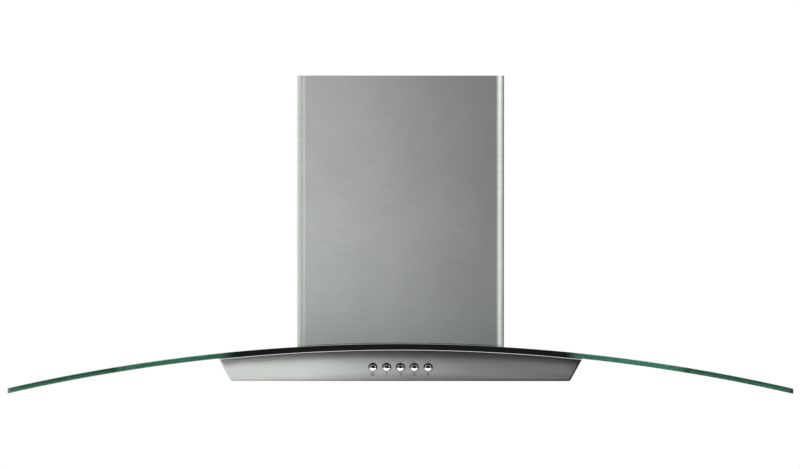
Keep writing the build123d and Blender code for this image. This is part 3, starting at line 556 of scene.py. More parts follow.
@dataclass(frozen=True)
class CircuitLaminate(Finish):
    """Glass-epoxy board under green solder mask, with copper tracks that show through it."""

    track_mm: Size = 2.4
    cloud_mm: Size = 9.0

    def shade(self, tree: Tree) -> dict[str, Node]:
        """Adds the tracks as a brick pattern of two greens.

        Args:
            tree: the node tree.

        Returns:
            The surface.
        """
        tracks = self.pattern(tree, "TexBrick", self.track_mm, **{
            "Color1": linear("1D5B37"), "Color2": linear("17492C"), "Mortar": linear("2F7D4E"),
            "Mortar Size": 0.12})
        cloud = self.pattern(tree, "TexNoise", self.cloud_mm, Detail=1.0)
        gloss = add_node(tree, "MapRange", {
            "Value": cloud, "From Min": NOISE_ENDS[0], "From Max": NOISE_ENDS[1], "To Min": 0.32, "To Max": 0.24})
        values = {"Base Color": tracks, "Roughness": gloss, "IOR": 1.55}
        return {"Surface": add_node(tree, "BsdfPrincipled", values)}


@dataclass(frozen=True)
class FloatGlass(Finish):
    """Tempered soda-lime float glass: clear through its 6 mm, and green along its width from its iron.

    An edge (masked) takes painted light along X: colours, lighter and darker, that stand in for the light through
    it.
    It is black over the printed middle, a painted shade for the dark seen through the edge there, and fades out
    at print_half. It is darker at the elbows, a painted shade for the refraction where the glass bends.
    """

    absorbed: str = "8AD4C2"
    density: float = 7.0
    masked: bool = False
    clearness: float = 1.0
    roughness: float = 0.0
    specular: float = 0.15
    # Painted shade on the edge over the printed middle: where it ends, how fast it fades and how black it gets.
    print_half: float = 0.212
    painted_shade_fade: float = 0.042
    painted_shade_power: float = 4.0
    painted_shade_grey: float = 0.03
    # Painted shade at the elbows: its width, and the share of the colour left where it is darkest.
    painted_elbow_shade_width: float = 5 * MM
    painted_elbow_shade_level: float = 0.4
    # Painted light: the edge's colour along X, lighter and darker bands that stand in for the light passing
    # through it.
    painted_light_tints: tuple[tuple[float, str], ...] = (
        (-0.45, "7AB090"), (-0.335, "7AB090"), (-0.315, "CCD2C2"), (-0.24, "D0D4C6"), (-0.2, "70B090"),
        (-0.168, "A0A8A2"), (0.168, "A8B0AA"), (0.2, "B0D8C0"), (0.24, "FFFFFF"), (0.29, "FFFFFF"),
        (0.335, "C0C6B8"), (0.36, "8FB4A2"), (0.45, "7DA590"))

    def edge_values(self, tree: Tree) -> dict:
        """Gives an edge's values: painted light along X times painted shade over the print and at the elbows.

        Args:
            tree: the node tree.

        Returns:
            The shader's values, by the names of its inputs.
        """
        spot = add_node(tree, "TexCoord")
        x = add_node(tree, "SeparateXYZ", {"Vector": spot.outputs["Object"]})
        away = add_node(tree, "Math", {0: x}, operation="ABSOLUTE")
        # Painted shade: the edge is opaque and black over the printed middle, standing in for the dark seen
        # through it, and clear beyond.
        clear = add_node(tree, "MapRange", {
            "Value": away, "From Min": self.print_half - self.painted_shade_fade, "From Max": self.print_half,
            "To Max": self.clearness}, interpolation_type="SMOOTHSTEP")
        along = add_node(tree, "MapRange", {"Value": x, "From Min": -HALF_WIDTH, "From Max": HALF_WIDTH})
        # The ramp of painted light along X.
        tint = add_node(tree, "ValToRGB", {"Fac": along})
        stops = tint.color_ramp.elements
        stops.remove(stops[1])
        for k, (place_x, colour) in enumerate(self.painted_light_tints):
            at = (place_x + HALF_WIDTH) / (2 * HALF_WIDTH)
            stop = stops[0] if k == 0 else stops.new(at)
            stop.position, stop.color = at, linear(colour)
        # Painted shade: the edge is darker near x = ±ELBOW_HALF, standing in for the refraction where the glass
        # bends.
        near = add_node(tree, "Math", {0: away, 1: ELBOW_HALF}, operation="SUBTRACT")
        near = add_node(tree, "Math", {0: near}, operation="ABSOLUTE")
        ground = add_node(tree, "MapRange", {
            "Value": near, "From Min": self.painted_elbow_shade_level * self.painted_elbow_shade_width, "From Max": self.painted_elbow_shade_width,
            "To Min": self.painted_elbow_shade_level})
        share = clear
        for operation, value in (("DIVIDE", self.clearness), ("POWER", self.painted_shade_power),
                                 ("MAXIMUM", self.painted_shade_grey), ("MULTIPLY", ground)):
            share = add_node(tree, "Math", {0: share, 1: value}, operation=operation)
        tone = add_node(tree, "VectorMath", {0: tint, 1: share}, operation="MULTIPLY")
        return {"Transmission Weight": clear, "Base Color": tone, "Specular IOR Level": self.specular}

    def shade(self, tree: Tree) -> dict[str, Node]:
        """Adds refraction with an absorbing body, and a plain tint for shadows so that light passes.

        Args:
            tree: the node tree.

        Returns:
            The surface and the volume.
        """
        values = {"Base Color": linear("FFFFFF"), "Roughness": self.roughness, "IOR": 1.52,
                  "Transmission Weight": 1.0}
        if self.masked:
            values.update(self.edge_values(tree))
        shader = add_node(tree, "BsdfPrincipled", values)
        film = add_node(tree, "BsdfTransparent", {"Color": linear("EAF5F0")})
        path = add_node(tree, "LightPath")
        mixed = add_node(tree, "MixShader", {0: path.outputs["Is Shadow Ray"], 1: shader, 2: film})
        body = add_node(tree, "VolumeAbsorption", {"Color": linear(self.absorbed), "Density": self.density})
        return {"Surface": mixed, "Volume": body}


STEEL = BrushedStainless("brushed_stainless_upright")
STEEL_LEVEL = BrushedStainless("brushed_stainless_level", brushing=Brushing.LEVEL_SHEET, anisotropy=0.0)
POLISHED = PolishedMetal("polished_stainless")
CHROME = PolishedMetal("chrome_plated_brass", dark="DADBDB", light="E4E4E3", roughness=0.05)
RING = PolishedMetal("black_chrome_ring", dark="8E8F8F", light="989999", roughness=0.07)
ZINC = ZincCoatedSteel("galvanised_steel")
ALUMINIUM = SatinAluminium("satin_aluminium")
BLACK_PLASTIC = MouldedPlastic("moulded_black_abs")
GREY_PLASTIC = MouldedPlastic("moulded_grey_polypropylene", dark="9A9C9D", light="A3A5A6")
WHITE_PLASTIC = MouldedPlastic("moulded_white_casing", dark="DCDCD7", light="E6E6E1")
MOTOR_PAINT = StovedPaint("stoved_motor_enamel")
RUBBER = CellRubber("closed_cell_epdm")
MARK_INK = PrintedInk("printed_mark_ink")
BLACK_PRINT = PrintedInk("black_ceramic_print", dark="080908", light="0C0D0C", roughness=0.35)
LAMINATE = CircuitLaminate("solder_masked_laminate")
LENS = FrostedGlass("etched_lamp_glass")
REFLECTOR = PolishedMetal("mirror_reflector", roughness=0.12)
GLASS = FloatGlass("tempered_float_glass")
GLASS_EDGE = FloatGlass("polished_glass_edge", masked=True, roughness=0.25)
# The arris's whitish green is partly ground glass's own colour and partly a painted highlight; its rise to the
# right is painted light.
GLASS_ARRIS = FloatGlass("ground_arris_painted_highlight", masked=True, clearness=0.4, roughness=0.6, painted_light_tints=(
    (-0.45, "A6C2B2"), (-0.335, "A6C2B2"), (-0.3, "B4D4C4"), (-0.22, "B4D4C4"), (0.22, "B8DCCC"),
    (0.3, "C4E4D6"), (0.335, "B8D2C6"), (0.45, "B8D2C6")))

SIDES = ("left", "right")


def place(piece: Thing, body: str, finish: Finish, stands_for: Sequence[str] = ()) -> None:
    """Finishes a new piece: its material, the body that it rides on and the nodes that it replaces.

    Args:
        piece: the new piece.
        body: the CAD body that carries it.
        finish: its finish.
        stands_for: the CAD nodes that it replaces.
    """
    piece.data.materials.append(finish.material())
    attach(piece, body)
    if stands_for:
        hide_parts(*stands_for)
    LOG.info("%s: %d faces on %s", piece.name, len(piece.data.polygons), body)


@dataclass
class SubAssembly:
    """A sub-assembly of the hood.

    Args:
        dressed: pairs of a finish and the CAD nodes that keep their shape and take it.
    """

    dressed: tuple[tuple[Finish, tuple[str, ...]], ...] = ()

    def build(self) -> None:
        """Makes its own pieces and gives its CAD nodes their finishes."""
        self.build_pieces()
        for finish, names in self.dressed:
            for name in names:
                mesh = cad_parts[name].data
                mesh.materials.clear()
                mesh.materials.append(finish.material())
                LOG.info("%s: dressed in %s", name, finish.name)

    def build_pieces(self) -> None:
        """Makes the pieces that replace CAD nodes or add to them, if it has any."""


# ---------------- glass canopy
@dataclass
class GlassCanopy(SubAssembly):
    """The bent glass, its green polished edge and the black print under its middle."""

    radius: float = 2.0
    apex: float = 42.3 * MM
    sheet: float = 6 * MM
    arris: float = 0.9 * MM
    arris_steps: int = 4
    ground_front: float = 0.25
    front_bow: float = 14 * MM
    wing_setback: float = 95 * MM
    elbow_round: float = 30 * MM
    tip_round: float = 24 * MM
    cutout_half: float = 90 * MM
    cutout_depth: float = 176 * MM
    cutout_round: float = 8 * MM
    cutout_lead: float = 12 * MM
    print_half: float = 0.209
    print_gap: float = 0.02 * MM
    print_margin: float = 3 * MM
    bow_points: int = 72
    elbow_points: int = 9
    wing_points: int = 26
    tip_points: int = 15
    cutout_points: int = 5
    deep_points: int = 25
    print_points: tuple[int, int] = (61, 9)
    box: tuple = field(default_factory=lambda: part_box("glass_canopy"))

    @property
    def bow_radius(self) -> float:
        """The radius of the front's bow, from its chord and its depth."""
        return (ELBOW_HALF**2 + self.front_bow**2) / (2 * self.front_bow)

    def bow(self, x: Array) -> Array:
        """Gives the Y of the front's bow at x: its foremost Y + R - sqrt(R^2 - x^2)."""
        return self.box[0].y + self.bow_radius - np.sqrt(self.bow_radius**2 - x**2)

    def height(self, x: Array, below: float = 0.0) -> Array:
        """Gives the Z at x of the arc that lies this far below the upper surface."""
        return self.apex - self.radius + np.sqrt((self.radius - below) ** 2 - x**2)

    def front_line(self) -> Array:
        """Gives the front outline from the left side to the right: bow, elbows, slanting wings, round tips.

        Returns:
            The outline's points by X and Y.
        """
        half, front = self.box[1].x, self.box[0].y
        elbow = np.array([ELBOW_HALF, front + self.front_bow])
        tip = np.array([half, elbow[1] + self.wing_setback])
        before = elbow - np.array([1.0, ELBOW_HALF / self.bow_radius])
        bend = fillet_arc(before, elbow, tip, self.elbow_round, self.elbow_points)
        nose = fillet_arc(elbow, tip, tip + [0, 1], self.tip_round, self.tip_points)
        x = np.linspace(0, bend[0, 0], self.bow_points)[:-1]
        share = np.linspace(0, 1, self.wing_points)[1:-1, None]
        wing = bend[-1] + (nose[0] - bend[-1]) * share
        right = np.concatenate([np.stack([x, self.bow(x)], axis=1), bend, wing, nose])
        return np.concatenate([right[:0:-1] * [-1, 1], right])

    def rear_line(self, x: Array) -> Array:
        """Gives the rear outline, round the cut-out, opposite the front outline's points.

        Args:
            x: the front points' X, rising.

        Returns:
            One rear point for each.
        """
        half, rear, deep = self.cutout_half, self.box[1].y, -self.cutout_depth
        bend = fillet_arc((half, rear), (half, deep), (0, deep), self.cutout_round, self.cutout_points)
        knots = np.concatenate([bend[::-1], [[half, rear], [self.box[1].x, rear]]])
        inner = np.linspace(half - self.cutout_lead, half - self.cutout_lead / 2, self.cutout_points)
        at = np.concatenate([inner, [half + self.cutout_lead, self.box[1].x]])
        away = np.abs(x)
        out = np.where(away < at[0], away * knots[0, 0] / at[0], np.interp(away, at, knots[:, 0]))
        return np.stack([np.sign(x) * out, np.interp(away, at, knots[:, 1])], axis=1)

    def build_glass(self) -> None:
        """Makes the glass: two arcs over the plan outline, joined by an edge with a small arris.

        The plan point for (s, t) lies at t on the straight line from front point s to rear point s, and its
        height is that of the arc. The rim's points are moved in by the arris along the outline's normal, and
        the edge between the arcs has a quarter circle of the arris at its top and at its bottom. The front's
        edge takes the finish of polished edges in its middle and of ground ones above and below.
        """
        front = self.front_line()
        rear = self.rear_line(front[:, 0])
        t = np.linspace(0, 1, self.deep_points)[None, :, None]
        plan = front[:, None] * (1 - t) + rear[:, None] * t
        rows, columns = plan.shape[:2]
        number = np.arange(rows * columns).reshape(rows, columns)
        loop = np.concatenate([number[:, 0], number[-1, 1:], number[-2::-1, -1], number[0, -2:0:-1]])
        flat = plan.reshape(-1, 2).copy()
        rim = flat[loop]
        along = np.roll(rim, -1, axis=0) - np.roll(rim, 1, axis=0)
        outward = np.stack([along[:, 1], -along[:, 0]], axis=1) / np.linalg.norm(along, axis=1)[:, None]
        flat[loop] = rim - outward * self.arris
        top = np.column_stack([flat, self.height(flat[:, 0])])
        bottom = np.column_stack([flat, self.height(flat[:, 0], self.sheet)])
        turn = np.linspace(0, np.pi / 2, self.arris_steps + 1)[1:, None]
        drawn_in, drop = self.arris * (1 - np.sin(turn)), self.arris * (1 - np.cos(turn))
        curl = rim[None] - outward[None] * drawn_in[:, :, None]
        upper = np.dstack([curl, self.height(rim[:, 0]) - drop])
        lower = np.dstack([curl, self.height(rim[:, 0], self.sheet) + drop])[::-1]
        points = np.concatenate([top, bottom, upper.reshape(-1, 3), lower.reshape(-1, 3)])
        sheet = grid_faces(rows, columns)
        total, size = len(flat), len(loop)
        middle = 2 * total + np.arange(2 * self.arris_steps)[:, None] * size + np.arange(size)
        rings = [loop, *middle, total + loop]
        edge = [np.stack([a, b, np.roll(b, -1), np.roll(a, -1)], axis=1) for a, b in zip(rings, rings[1:])]
        glass = make_mesh("bent_glass", points, np.concatenate([sheet[:, ::-1], sheet + total, *edge]))
        place(glass, "hood", GLASS, ["glass_canopy"])
        for finish in (GLASS_EDGE, GLASS_ARRIS):
            glass.data.materials.append(finish.material())
        band = np.arange(2 * self.arris_steps + 1)[:, None] - self.arris_steps
        at_front = (rim[:, 1] < -self.ground_front)[None]
        slots = np.where(at_front, np.where(np.abs(band) > 1, 2, 1), 0).ravel()
        slots = np.concatenate([np.zeros(2 * len(sheet)), slots]).astype(np.int32)
        glass.data.polygons.foreach_set("material_index", slots)

    def build_print(self) -> None:
        """Makes the black print under the glass: a grid over X and depth, just below the arc."""
        wide, deep = self.print_points
        x = np.linspace(-self.print_half, self.print_half, wide)
        front = self.bow(x) + self.print_margin
        rear = self.rear_line(x)[:, 1] - self.print_margin
        t = np.linspace(0, 1, deep)[None, :]
        y = front[:, None] * (1 - t) + rear[:, None] * t
        x = np.repeat(x[:, None], deep, axis=1)
        z = self.height(x, self.sheet + self.print_gap)
        film = make_mesh("black_print", np.stack([x, y, z], axis=-1).reshape(-1, 3), grid_faces(wide, deep))
        place(film, "hood", BLACK_PRINT)

    def build_pieces(self) -> None:
        """Makes the glass and its print."""
        self.build_glass()
        self.build_print()


# ---------------- body
@dataclass
class HoodBody(SubAssembly):
    """The steel tray under the glass, with its bright bead, panel and fastenings."""

    dressed: tuple = (
        (STEEL_LEVEL, ("underside_panel",)),
        (ZINC, ("top_plate", "filter_hinge_brackets")),
        (RUBBER, ("glass_gasket", "blower_gasket")),
        (POLISHED, ("panel_screws",)))
    bead_radius: float = 0.62 * MM
    bead_drop: float = 0.9 * MM
    bead_points: tuple[int, int, int] = (15, 61, 12)
    bottom_half: float = 193.3 * MM
    side_lean: float = 29.0
    fold_radius: float = 1.9 * MM
    fold_segments: int = 5
    fold_turn: float = 40.0
    near: float = 0.3 * MM

    def build_bead(self) -> None:
        """Makes the bright round bead between fascia and glass: a circle carried along the tray's top edge."""
        low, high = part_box("glass_rim")
        arc = GlassCanopy()
        side, front, around = self.bead_points
        deep = np.linspace(high.y, low.y, side)
        x = np.concatenate([np.full(side, low.x), np.linspace(low.x, high.x, front)[1:-1],
                            np.full(side, high.x)])
        y = np.concatenate([deep, np.full(front - 2, low.y), deep[::-1]])
        path = np.stack([x, y, arc.height(x, arc.sheet + self.bead_drop)], axis=1)
        inward = np.zeros_like(path)
        inward[:side, 0], inward[side:-side, 1], inward[-side:, 0] = 1, 1, -1
        inward[[side - 1, -side]] = [[1, 1, 0], [-1, 1, 0]]
        path += inward * self.bead_radius
        angle = np.linspace(0, 2 * np.pi, around, endpoint=False)[None, :, None]
        ring = (-np.cos(angle) * inward[:, None] + np.sin(angle) * UP) * self.bead_radius
        points = (path[:, None] + ring).reshape(-1, 3)
        faces = grid_faces(len(path), around, wrap=True).tolist()
        faces += [list(range(around - 1, -1, -1)), list(range(len(points) - around, len(points)))]
        bead = make_mesh("bright_bead", points, faces, sharp_degrees=50)
        place(bead, "hood", POLISHED, ["glass_rim"])

    def build_folded(self, node: str, name: str) -> None:
        """Copies a tray sheet and rounds its outer folds, which pressed sheet never has sharp.

        Args:
            node: the sheet's CAD node.
            name: the new piece's name.
        """
        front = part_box("fascia")[0].y
        lean = math.tan(math.radians(self.side_lean))
        shape = welded(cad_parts[node].data)
        bmesh.ops.dissolve_limit(shape, angle_limit=math.radians(0.5), verts=shape.verts, edges=shape.edges)

        def on_faces(vert: bmesh.types.BMVert) -> tuple[bool, bool, bool]:
            """Tells whether a corner lies on the tray's bottom, front and slanted side."""
            x, y, z = vert.co
            return (z < self.near, y < front + 2 * self.near,
                    abs(abs(x) - self.bottom_half - z * lean) < self.near)

        folds = [edge for edge in shape.edges
                 if sum(a and b for a, b in zip(*map(on_faces, edge.verts))) >= 2
                 and edge.is_manifold and edge.calc_face_angle(0) > math.radians(self.fold_turn)]
        bmesh.ops.bevel(shape, geom=folds, offset=self.fold_radius, offset_type="OFFSET",
                        segments=self.fold_segments, profile=0.5, affect="EDGES", clamp_overlap=True)
        piece = finish_mesh(bpy.data.meshes.new(name), shape, sharp_degrees=32)
        place(piece, "hood", STEEL, [node])

    def build_pieces(self) -> None:
        """Makes the folded sheets and the bead."""
        self.build_folded("fascia", "folded_fascia")
        self.build_folded("body_shell", "folded_shell")
        self.build_bead()


def arc_stroke(centre: tuple[float, float], radii: tuple[float, float], start: float, end: float) -> Array:
    """Gives 17 points on an ellipse's arc, from start to end in degrees."""
    angle = np.radians(np.linspace(start, end, 17))
    return np.stack([centre[0] + radii[0] * np.cos(angle), centre[1] + radii[1] * np.sin(angle)], axis=1)


class Mark(Enum):
    """The mark under each push button."""

    OFF = "off"
    ONE = "one"
    TWO = "two"
    THREE = "three"
    LAMP = "lamp"


# Each mark's pen strokes, in a box 1 high whose middle is the origin.
STROKES = {
    Mark.OFF: [arc_stroke((0, 0), (0.46, 0.45), 90, 450)],
    Mark.ONE: [np.array([(-0.16, 0.26), (0.04, 0.46), (0.04, -0.46)])],
    Mark.TWO: [np.concatenate([arc_stroke((0, 0.2), (0.25, 0.26), 165, -35), [(-0.25, -0.45), (0.27, -0.45)]])],
    Mark.THREE: [arc_stroke((0, 0.22), (0.23, 0.23), 150, -90), arc_stroke((0, -0.22), (0.26, 0.24), 90, -150)],
    Mark.LAMP: [arc_stroke((0, 0.12), (0.28, 0.3), -60, 240), np.array([(-0.14, -0.28), (0.14, -0.28)]),
                np.array([(-0.1, -0.43), (0.1, -0.43)])],
}


@dataclass
class PushButtons(SubAssembly):
    """Five domed chrome push buttons with a bezel ring round each and a printed mark under it."""

    dressed: tuple = ((BLACK_PLASTIC, ("switch_block",)), (LAMINATE, ("circuit_board",)))
    pitch: float = 15.75 * MM
    height: float = 15.8 * MM
    lean: float = 0.5
    cap_radius: float = 4.1 * MM
    crown: float = 2.3 * MM
    edge: float = 0.9 * MM
    tail: float = 4.0 * MM
    stem_radius: float = 2.5 * MM
    stem_length: float = 9.0 * MM
    mark_height: float = 3.3 * MM
    mark_line: float = 0.7 * MM
    mark_rise: float = 7.8 * MM
    mark_film: float = 0.03 * MM
    ring_gap: float = 0.25 * MM
    ring_wall: float = 0.9 * MM
    ring_stand: float = 0.6 * MM
    ring_depth: float = 4.4 * MM
    dome_points: int = 15
    crest_points: int = 11
    cap_sides: int = 48
    ring_sides: int = 64

    def on_fascia(self, x: float, rise: float) -> tuple[Array, Array, Array]:
        """Gives a point on the leaning fascia.

        Args:
            x: its place along the fascia.
            rise: its height above the fascia's lower front edge, along the fascia.

        Returns:
            The point, the fascia's outward normal and its upward direction.
        """
        low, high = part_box("fascia")
        angle = math.radians(self.lean)
        outward = np.array([0, -math.cos(angle), -math.sin(angle)])
        up = np.array([0, -math.sin(angle), math.cos(angle)])
        foot = np.array([x, low.y + (high.z - low.z) * math.tan(angle), low.z])
        return foot + up * rise, outward, up

    def build_cap(self, mark: Mark, x: float) -> None:
        """Turns one cap: a dome, part of a sphere, on a straight skirt, with a short stem behind.

        Args:
            mark: the button's mark.
            x: its place along the fascia.
        """
        node = f"button_{mark.value}"
        origin, outward, _ = self.on_fascia(x, self.height)
        dome_height = self.crown - self.edge
        sphere = (self.cap_radius**2 + dome_height**2) / (2 * dome_height)
        r = np.linspace(0, self.cap_radius, self.dome_points)
        dome = np.stack([r, self.crown - sphere + np.sqrt(sphere**2 - r**2)], axis=1)
        end = -self.tail - self.stem_length
        stem = [(self.cap_radius, -self.tail), (self.stem_radius, -self.tail), (self.stem_radius, end), (0, end)]
        shape = lathe(np.concatenate([dome, stem]), origin, outward, self.cap_sides)
        cap = make_mesh(f"cap_{mark.value}", *shape, sharp_degrees=24)
        place(cap, node, CHROME, [node])

    def build_ring(self, mark: Mark, x: float) -> None:
        """Turns one bezel ring: a collar with a half round crest that stands round the cap.

        Args:
            mark: the button's mark.
            x: its place along the fascia.
        """
        origin, outward, _ = self.on_fascia(x, self.height)
        inner, half = self.cap_radius + self.ring_gap, self.ring_wall / 2
        outer = inner + self.ring_wall
        angle = np.linspace(0, np.pi, self.crest_points)
        crest = np.stack([outer - half + half * np.cos(angle), self.ring_stand - half + half * np.sin(angle)],
                         axis=1)
        foot = (inner, -self.ring_depth)
        profile = np.concatenate([[foot, (outer, -self.ring_depth)], crest, [foot]])
        shape = lathe(profile, origin, outward, self.ring_sides)
        ring = make_mesh(f"ring_{mark.value}", *shape, sharp_degrees=40)
        place(ring, "hood", RING, ["button_bezels"])

    def build_mark(self, mark: Mark, x: float) -> None:
        """Prints one mark on the fascia: a thin bar along each stroke.

        Args:
            mark: the mark.
            x: its place along the fascia.
        """
        base, outward, up = self.on_fascia(x, self.mark_rise)
        strokes = []
        for stroke in STROKES[mark]:
            flat = stroke * self.mark_height
            path = base + flat[:, :1] * RIGHT + flat[:, 1:] * up + outward * self.mark_film / 2
            across = np.cross(np.gradient(path, axis=0), outward)
            across /= np.linalg.norm(across, axis=1)[:, None]
            strokes.append(bars(path[None], across[None], outward, self.mark_line, self.mark_film))
        place(make_mesh(f"mark_{mark.value}", *joined(strokes)), "hood", MARK_INK)

    def build_pieces(self) -> None:
        """Makes the caps, their rings and their marks."""
        for k, mark in enumerate(Mark):
            x = self.pitch * (k - (len(Mark) - 1) / 2)
            self.build_cap(mark, x)
            self.build_ring(mark, x)
            self.build_mark(mark, x)


# ---------------- filters, lamps, blower and chimney
@dataclass
class GreaseFilters(SubAssembly):
    """Two cassettes of expanded aluminium under the tray."""

    dressed: tuple = (
        (ALUMINIUM, tuple(f"{side}_filter_frame" for side in SIDES)),
        (POLISHED, tuple(f"{side}_filter_{part}" for side in SIDES for part in ("latch", "keeper"))))
    strand_gap: float = 4.4 * MM
    diamond: float = 12.0 * MM
    strand_width: float = 0.9 * MM
    strand_height: float = 0.45 * MM
    wave: float = 0.35 * MM
    layers: int = 3

    def build_pad(self, side: str) -> None:
        """Makes one pad: layers of strands that zigzag along Y and meet their neighbours in diamonds.

        A strand's X swings by a quarter of the gap with the triangle wave of its Y, and odd strands swing
        the other way. Its Z follows the same wave, as expanded metal's does.

        Args:
            side: "left" or "right".
        """
        node = f"{side}_filter_mesh"
        low, high = (np.array(v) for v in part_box(node))
        margin = self.strand_gap / 4 + self.strand_width
        x = np.arange(low[0] + margin, high[0] - margin, self.strand_gap / 2)
        y = np.arange(low[1], high[1], self.diamond / 2)
        swing = np.where(np.arange(len(y)) % 2 == 0, 1.0, -1.0)
        turn = np.where(np.arange(len(x)) % 2 == 0, 1.0, -1.0)
        wave = turn[:, None] * swing[None]
        layers = []
        for layer in range(self.layers):
            shift = (layer % 2) * self.strand_gap / 8
            z = low[2] + (high[2] - low[2]) * (layer + 0.5) / self.layers
            path = np.stack([x[:, None] + shift + wave * self.strand_gap / 4,
                             np.broadcast_to(y, wave.shape), z + wave * self.wave], axis=-1)
            across = np.broadcast_to(RIGHT, path.shape)
            layers.append(bars(path, across, UP, self.strand_width, self.strand_height))
        pad = make_mesh(f"{side}_expanded_mesh", *joined(layers))
        place(pad, f"{side}_filter", ALUMINIUM, [node])

    def build_pieces(self) -> None:
        """Makes both pads."""
        for side in SIDES:
            self.build_pad(side)


@dataclass
class Lamps(SubAssembly):
    """Two lamps beside the filters, each with a bezel, a lens, a housing and a bulb."""

    dressed: tuple = tuple(
        (finish, tuple(f"{side}_lamp_{part}" for side in SIDES))
        for finish, part in ((POLISHED, "bezel"), (LENS, "lens"), (ZINC, "housing"), (REFLECTOR, "bulb")))


@dataclass
class Blower(SubAssembly):
    """The blower box, what it holds and what stands on it."""

    dressed: tuple = (
        (ZINC, ("blower_box", "glass_screws", "motor_bracket", "motor_screws", "collar_screws")),
        (GREY_PLASTIC, ("scroll_left", "scroll_right", "impeller", "terminal_box", "terminal_cover")),
        (BLACK_PLASTIC, ("outlet_collar", "flap_front", "flap_rear", "cable_gland")),
        (MOTOR_PAINT, ("motor",)),
        (POLISHED, ("motor_shaft", "flap_spindle")),
        (WHITE_PLASTIC, ("capacitor",)))


@dataclass
class Chimney(SubAssembly):
    """The lower and the upper chimney with their brackets."""

    dressed: tuple = (
        (STEEL, ("lower_chimney", "upper_chimney")),
        (ZINC, ("chimney_brackets", "chimney_screws", "upper_chimney_bracket")))


# ---------------- studio
@dataclass(frozen=True)
class Panel:
    """A flat panel of the studio that shows in gloss alone, spanned by two sides from one corner.

    Args:
        name: its name.
        corner: the corner from which both sides start.
        along: its first side.
        up: its second side. The lit face looks against the cross product of the two.
        brightness: what its brightest part would show in a perfect mirror.
        curve_along: pairs of place on the first side, from 0 to 1, and share of the brightness.
        curve_up: the same for the second side.
        mound: half the width and the height of an unlit half ellipse on the middle of the first side.
    """

    name: str
    corner: Triple
    along: Triple
    up: Triple
    brightness: float
    curve_along: Stops = ()
    curve_up: Stops = ()
    mound: tuple[float, ...] = ()

    def place_on(self, tree: Tree, side: Triple) -> bpy.types.NodeSocket:
        """Gives how far a lit point lies along one side, from 0 to 1: its offset dotted with side / length^2.

        Args:
            tree: the node tree.
            side: the side.

        Returns:
            The share of the side.
        """
        spot = add_node(tree, "NewGeometry")
        offset = add_node(tree, "VectorMath", {0: spot, 1: self.corner}, operation="SUBTRACT")
        per_length = tuple(np.array(side) / np.dot(side, side))
        dotted = add_node(tree, "VectorMath", {0: offset, 1: per_length}, operation="DOT_PRODUCT")
        return dotted.outputs["Value"]

    def glow(self, tree: Tree) -> Node:
        """Gives the panel's emission: its brightness times the smooth curve through each side's stops.

        Args:
            tree: the node tree.

        Returns:
            The emission.
        """
        level = add_node(tree, "Value")
        level.outputs[0].default_value = self.brightness
        for side, stops in ((self.along, self.curve_along), (self.up, self.curve_up)):
            if stops:
                share = add_node(tree, "FloatCurve", {"Value": self.place_on(tree, side)})
                points = share.mapping.curves[0].points
                for k, stop in enumerate(stops):
                    # A new curve has two points, which take the first two stops.
                    point = points[k] if k < 2 else points.new(*stop)
                    point.location = stop
                share.mapping.update()
                level = add_node(tree, "Math", {0: level, 1: share}, operation="MULTIPLY")
        if self.mound:
            level = self.past_mound(tree, level)
        return add_node(tree, "Emission", {"Strength": level})

    def past_mound(self, tree: Tree, level: Node) -> Node:
        """Turns the brightness off where (across / half width)^2 + (height / mound height)^2 is under 1.

        Args:
            tree: the node tree.
            level: the brightness without the mound.

        Returns:
            The brightness with it.
        """
        width, height = (float(np.linalg.norm(side)) for side in (self.along, self.up))
        spot = add_node(tree, "CombineXYZ", {"X": self.place_on(tree, self.along),
                                             "Y": self.place_on(tree, self.up)})
        middle = add_node(tree, "VectorMath", {0: spot, 1: (-0.5, 0.0, 0.0)}, operation="ADD")
        scaled = add_node(tree, "VectorMath", {
            0: middle, 1: (width / self.mound[0], height / self.mound[1], 0.0)}, operation="MULTIPLY")
        away = add_node(tree, "VectorMath", {0: scaled}, operation="LENGTH")
        edge = add_node(tree, "MapRange", {"Value": away.outputs["Value"], "From Min": 0.9, "From Max": 1.1})
        return add_node(tree, "Math", {0: level, 1: edge}, operation="MULTIPLY")

    @staticmethod
    def show_in_gloss_alone(thing: Thing) -> None:
        """Hides a card or lamp from every ray but those that leave gloss."""
        thing.visible_camera = thing.visible_diffuse = thing.visible_transmission = False

    def build(self) -> None:
        """Puts the panel up."""
        raise NotImplementedError


@dataclass(frozen=True)
class Card(Panel):
    """A card that shows in the gloss of every piece, on both of its faces."""

    def build(self) -> None:
        """Puts the card up: one face with the panel's glow."""
        corner, along, up = (np.array(v) for v in (self.corner, self.along, self.up))
        points = np.array([corner, corner + along, corner + along + up, corner + up])
        card = make_mesh(self.name, points, [[0, 1, 2, 3]])
        material = bpy.data.materials.new(self.name)
        tree = empty_tree(material)
        add_node(tree, "OutputMaterial", {"Surface": self.glow(tree)})
        card.data.materials.append(material)
        self.show_in_gloss_alone(card)
        card.visible_shadow = False


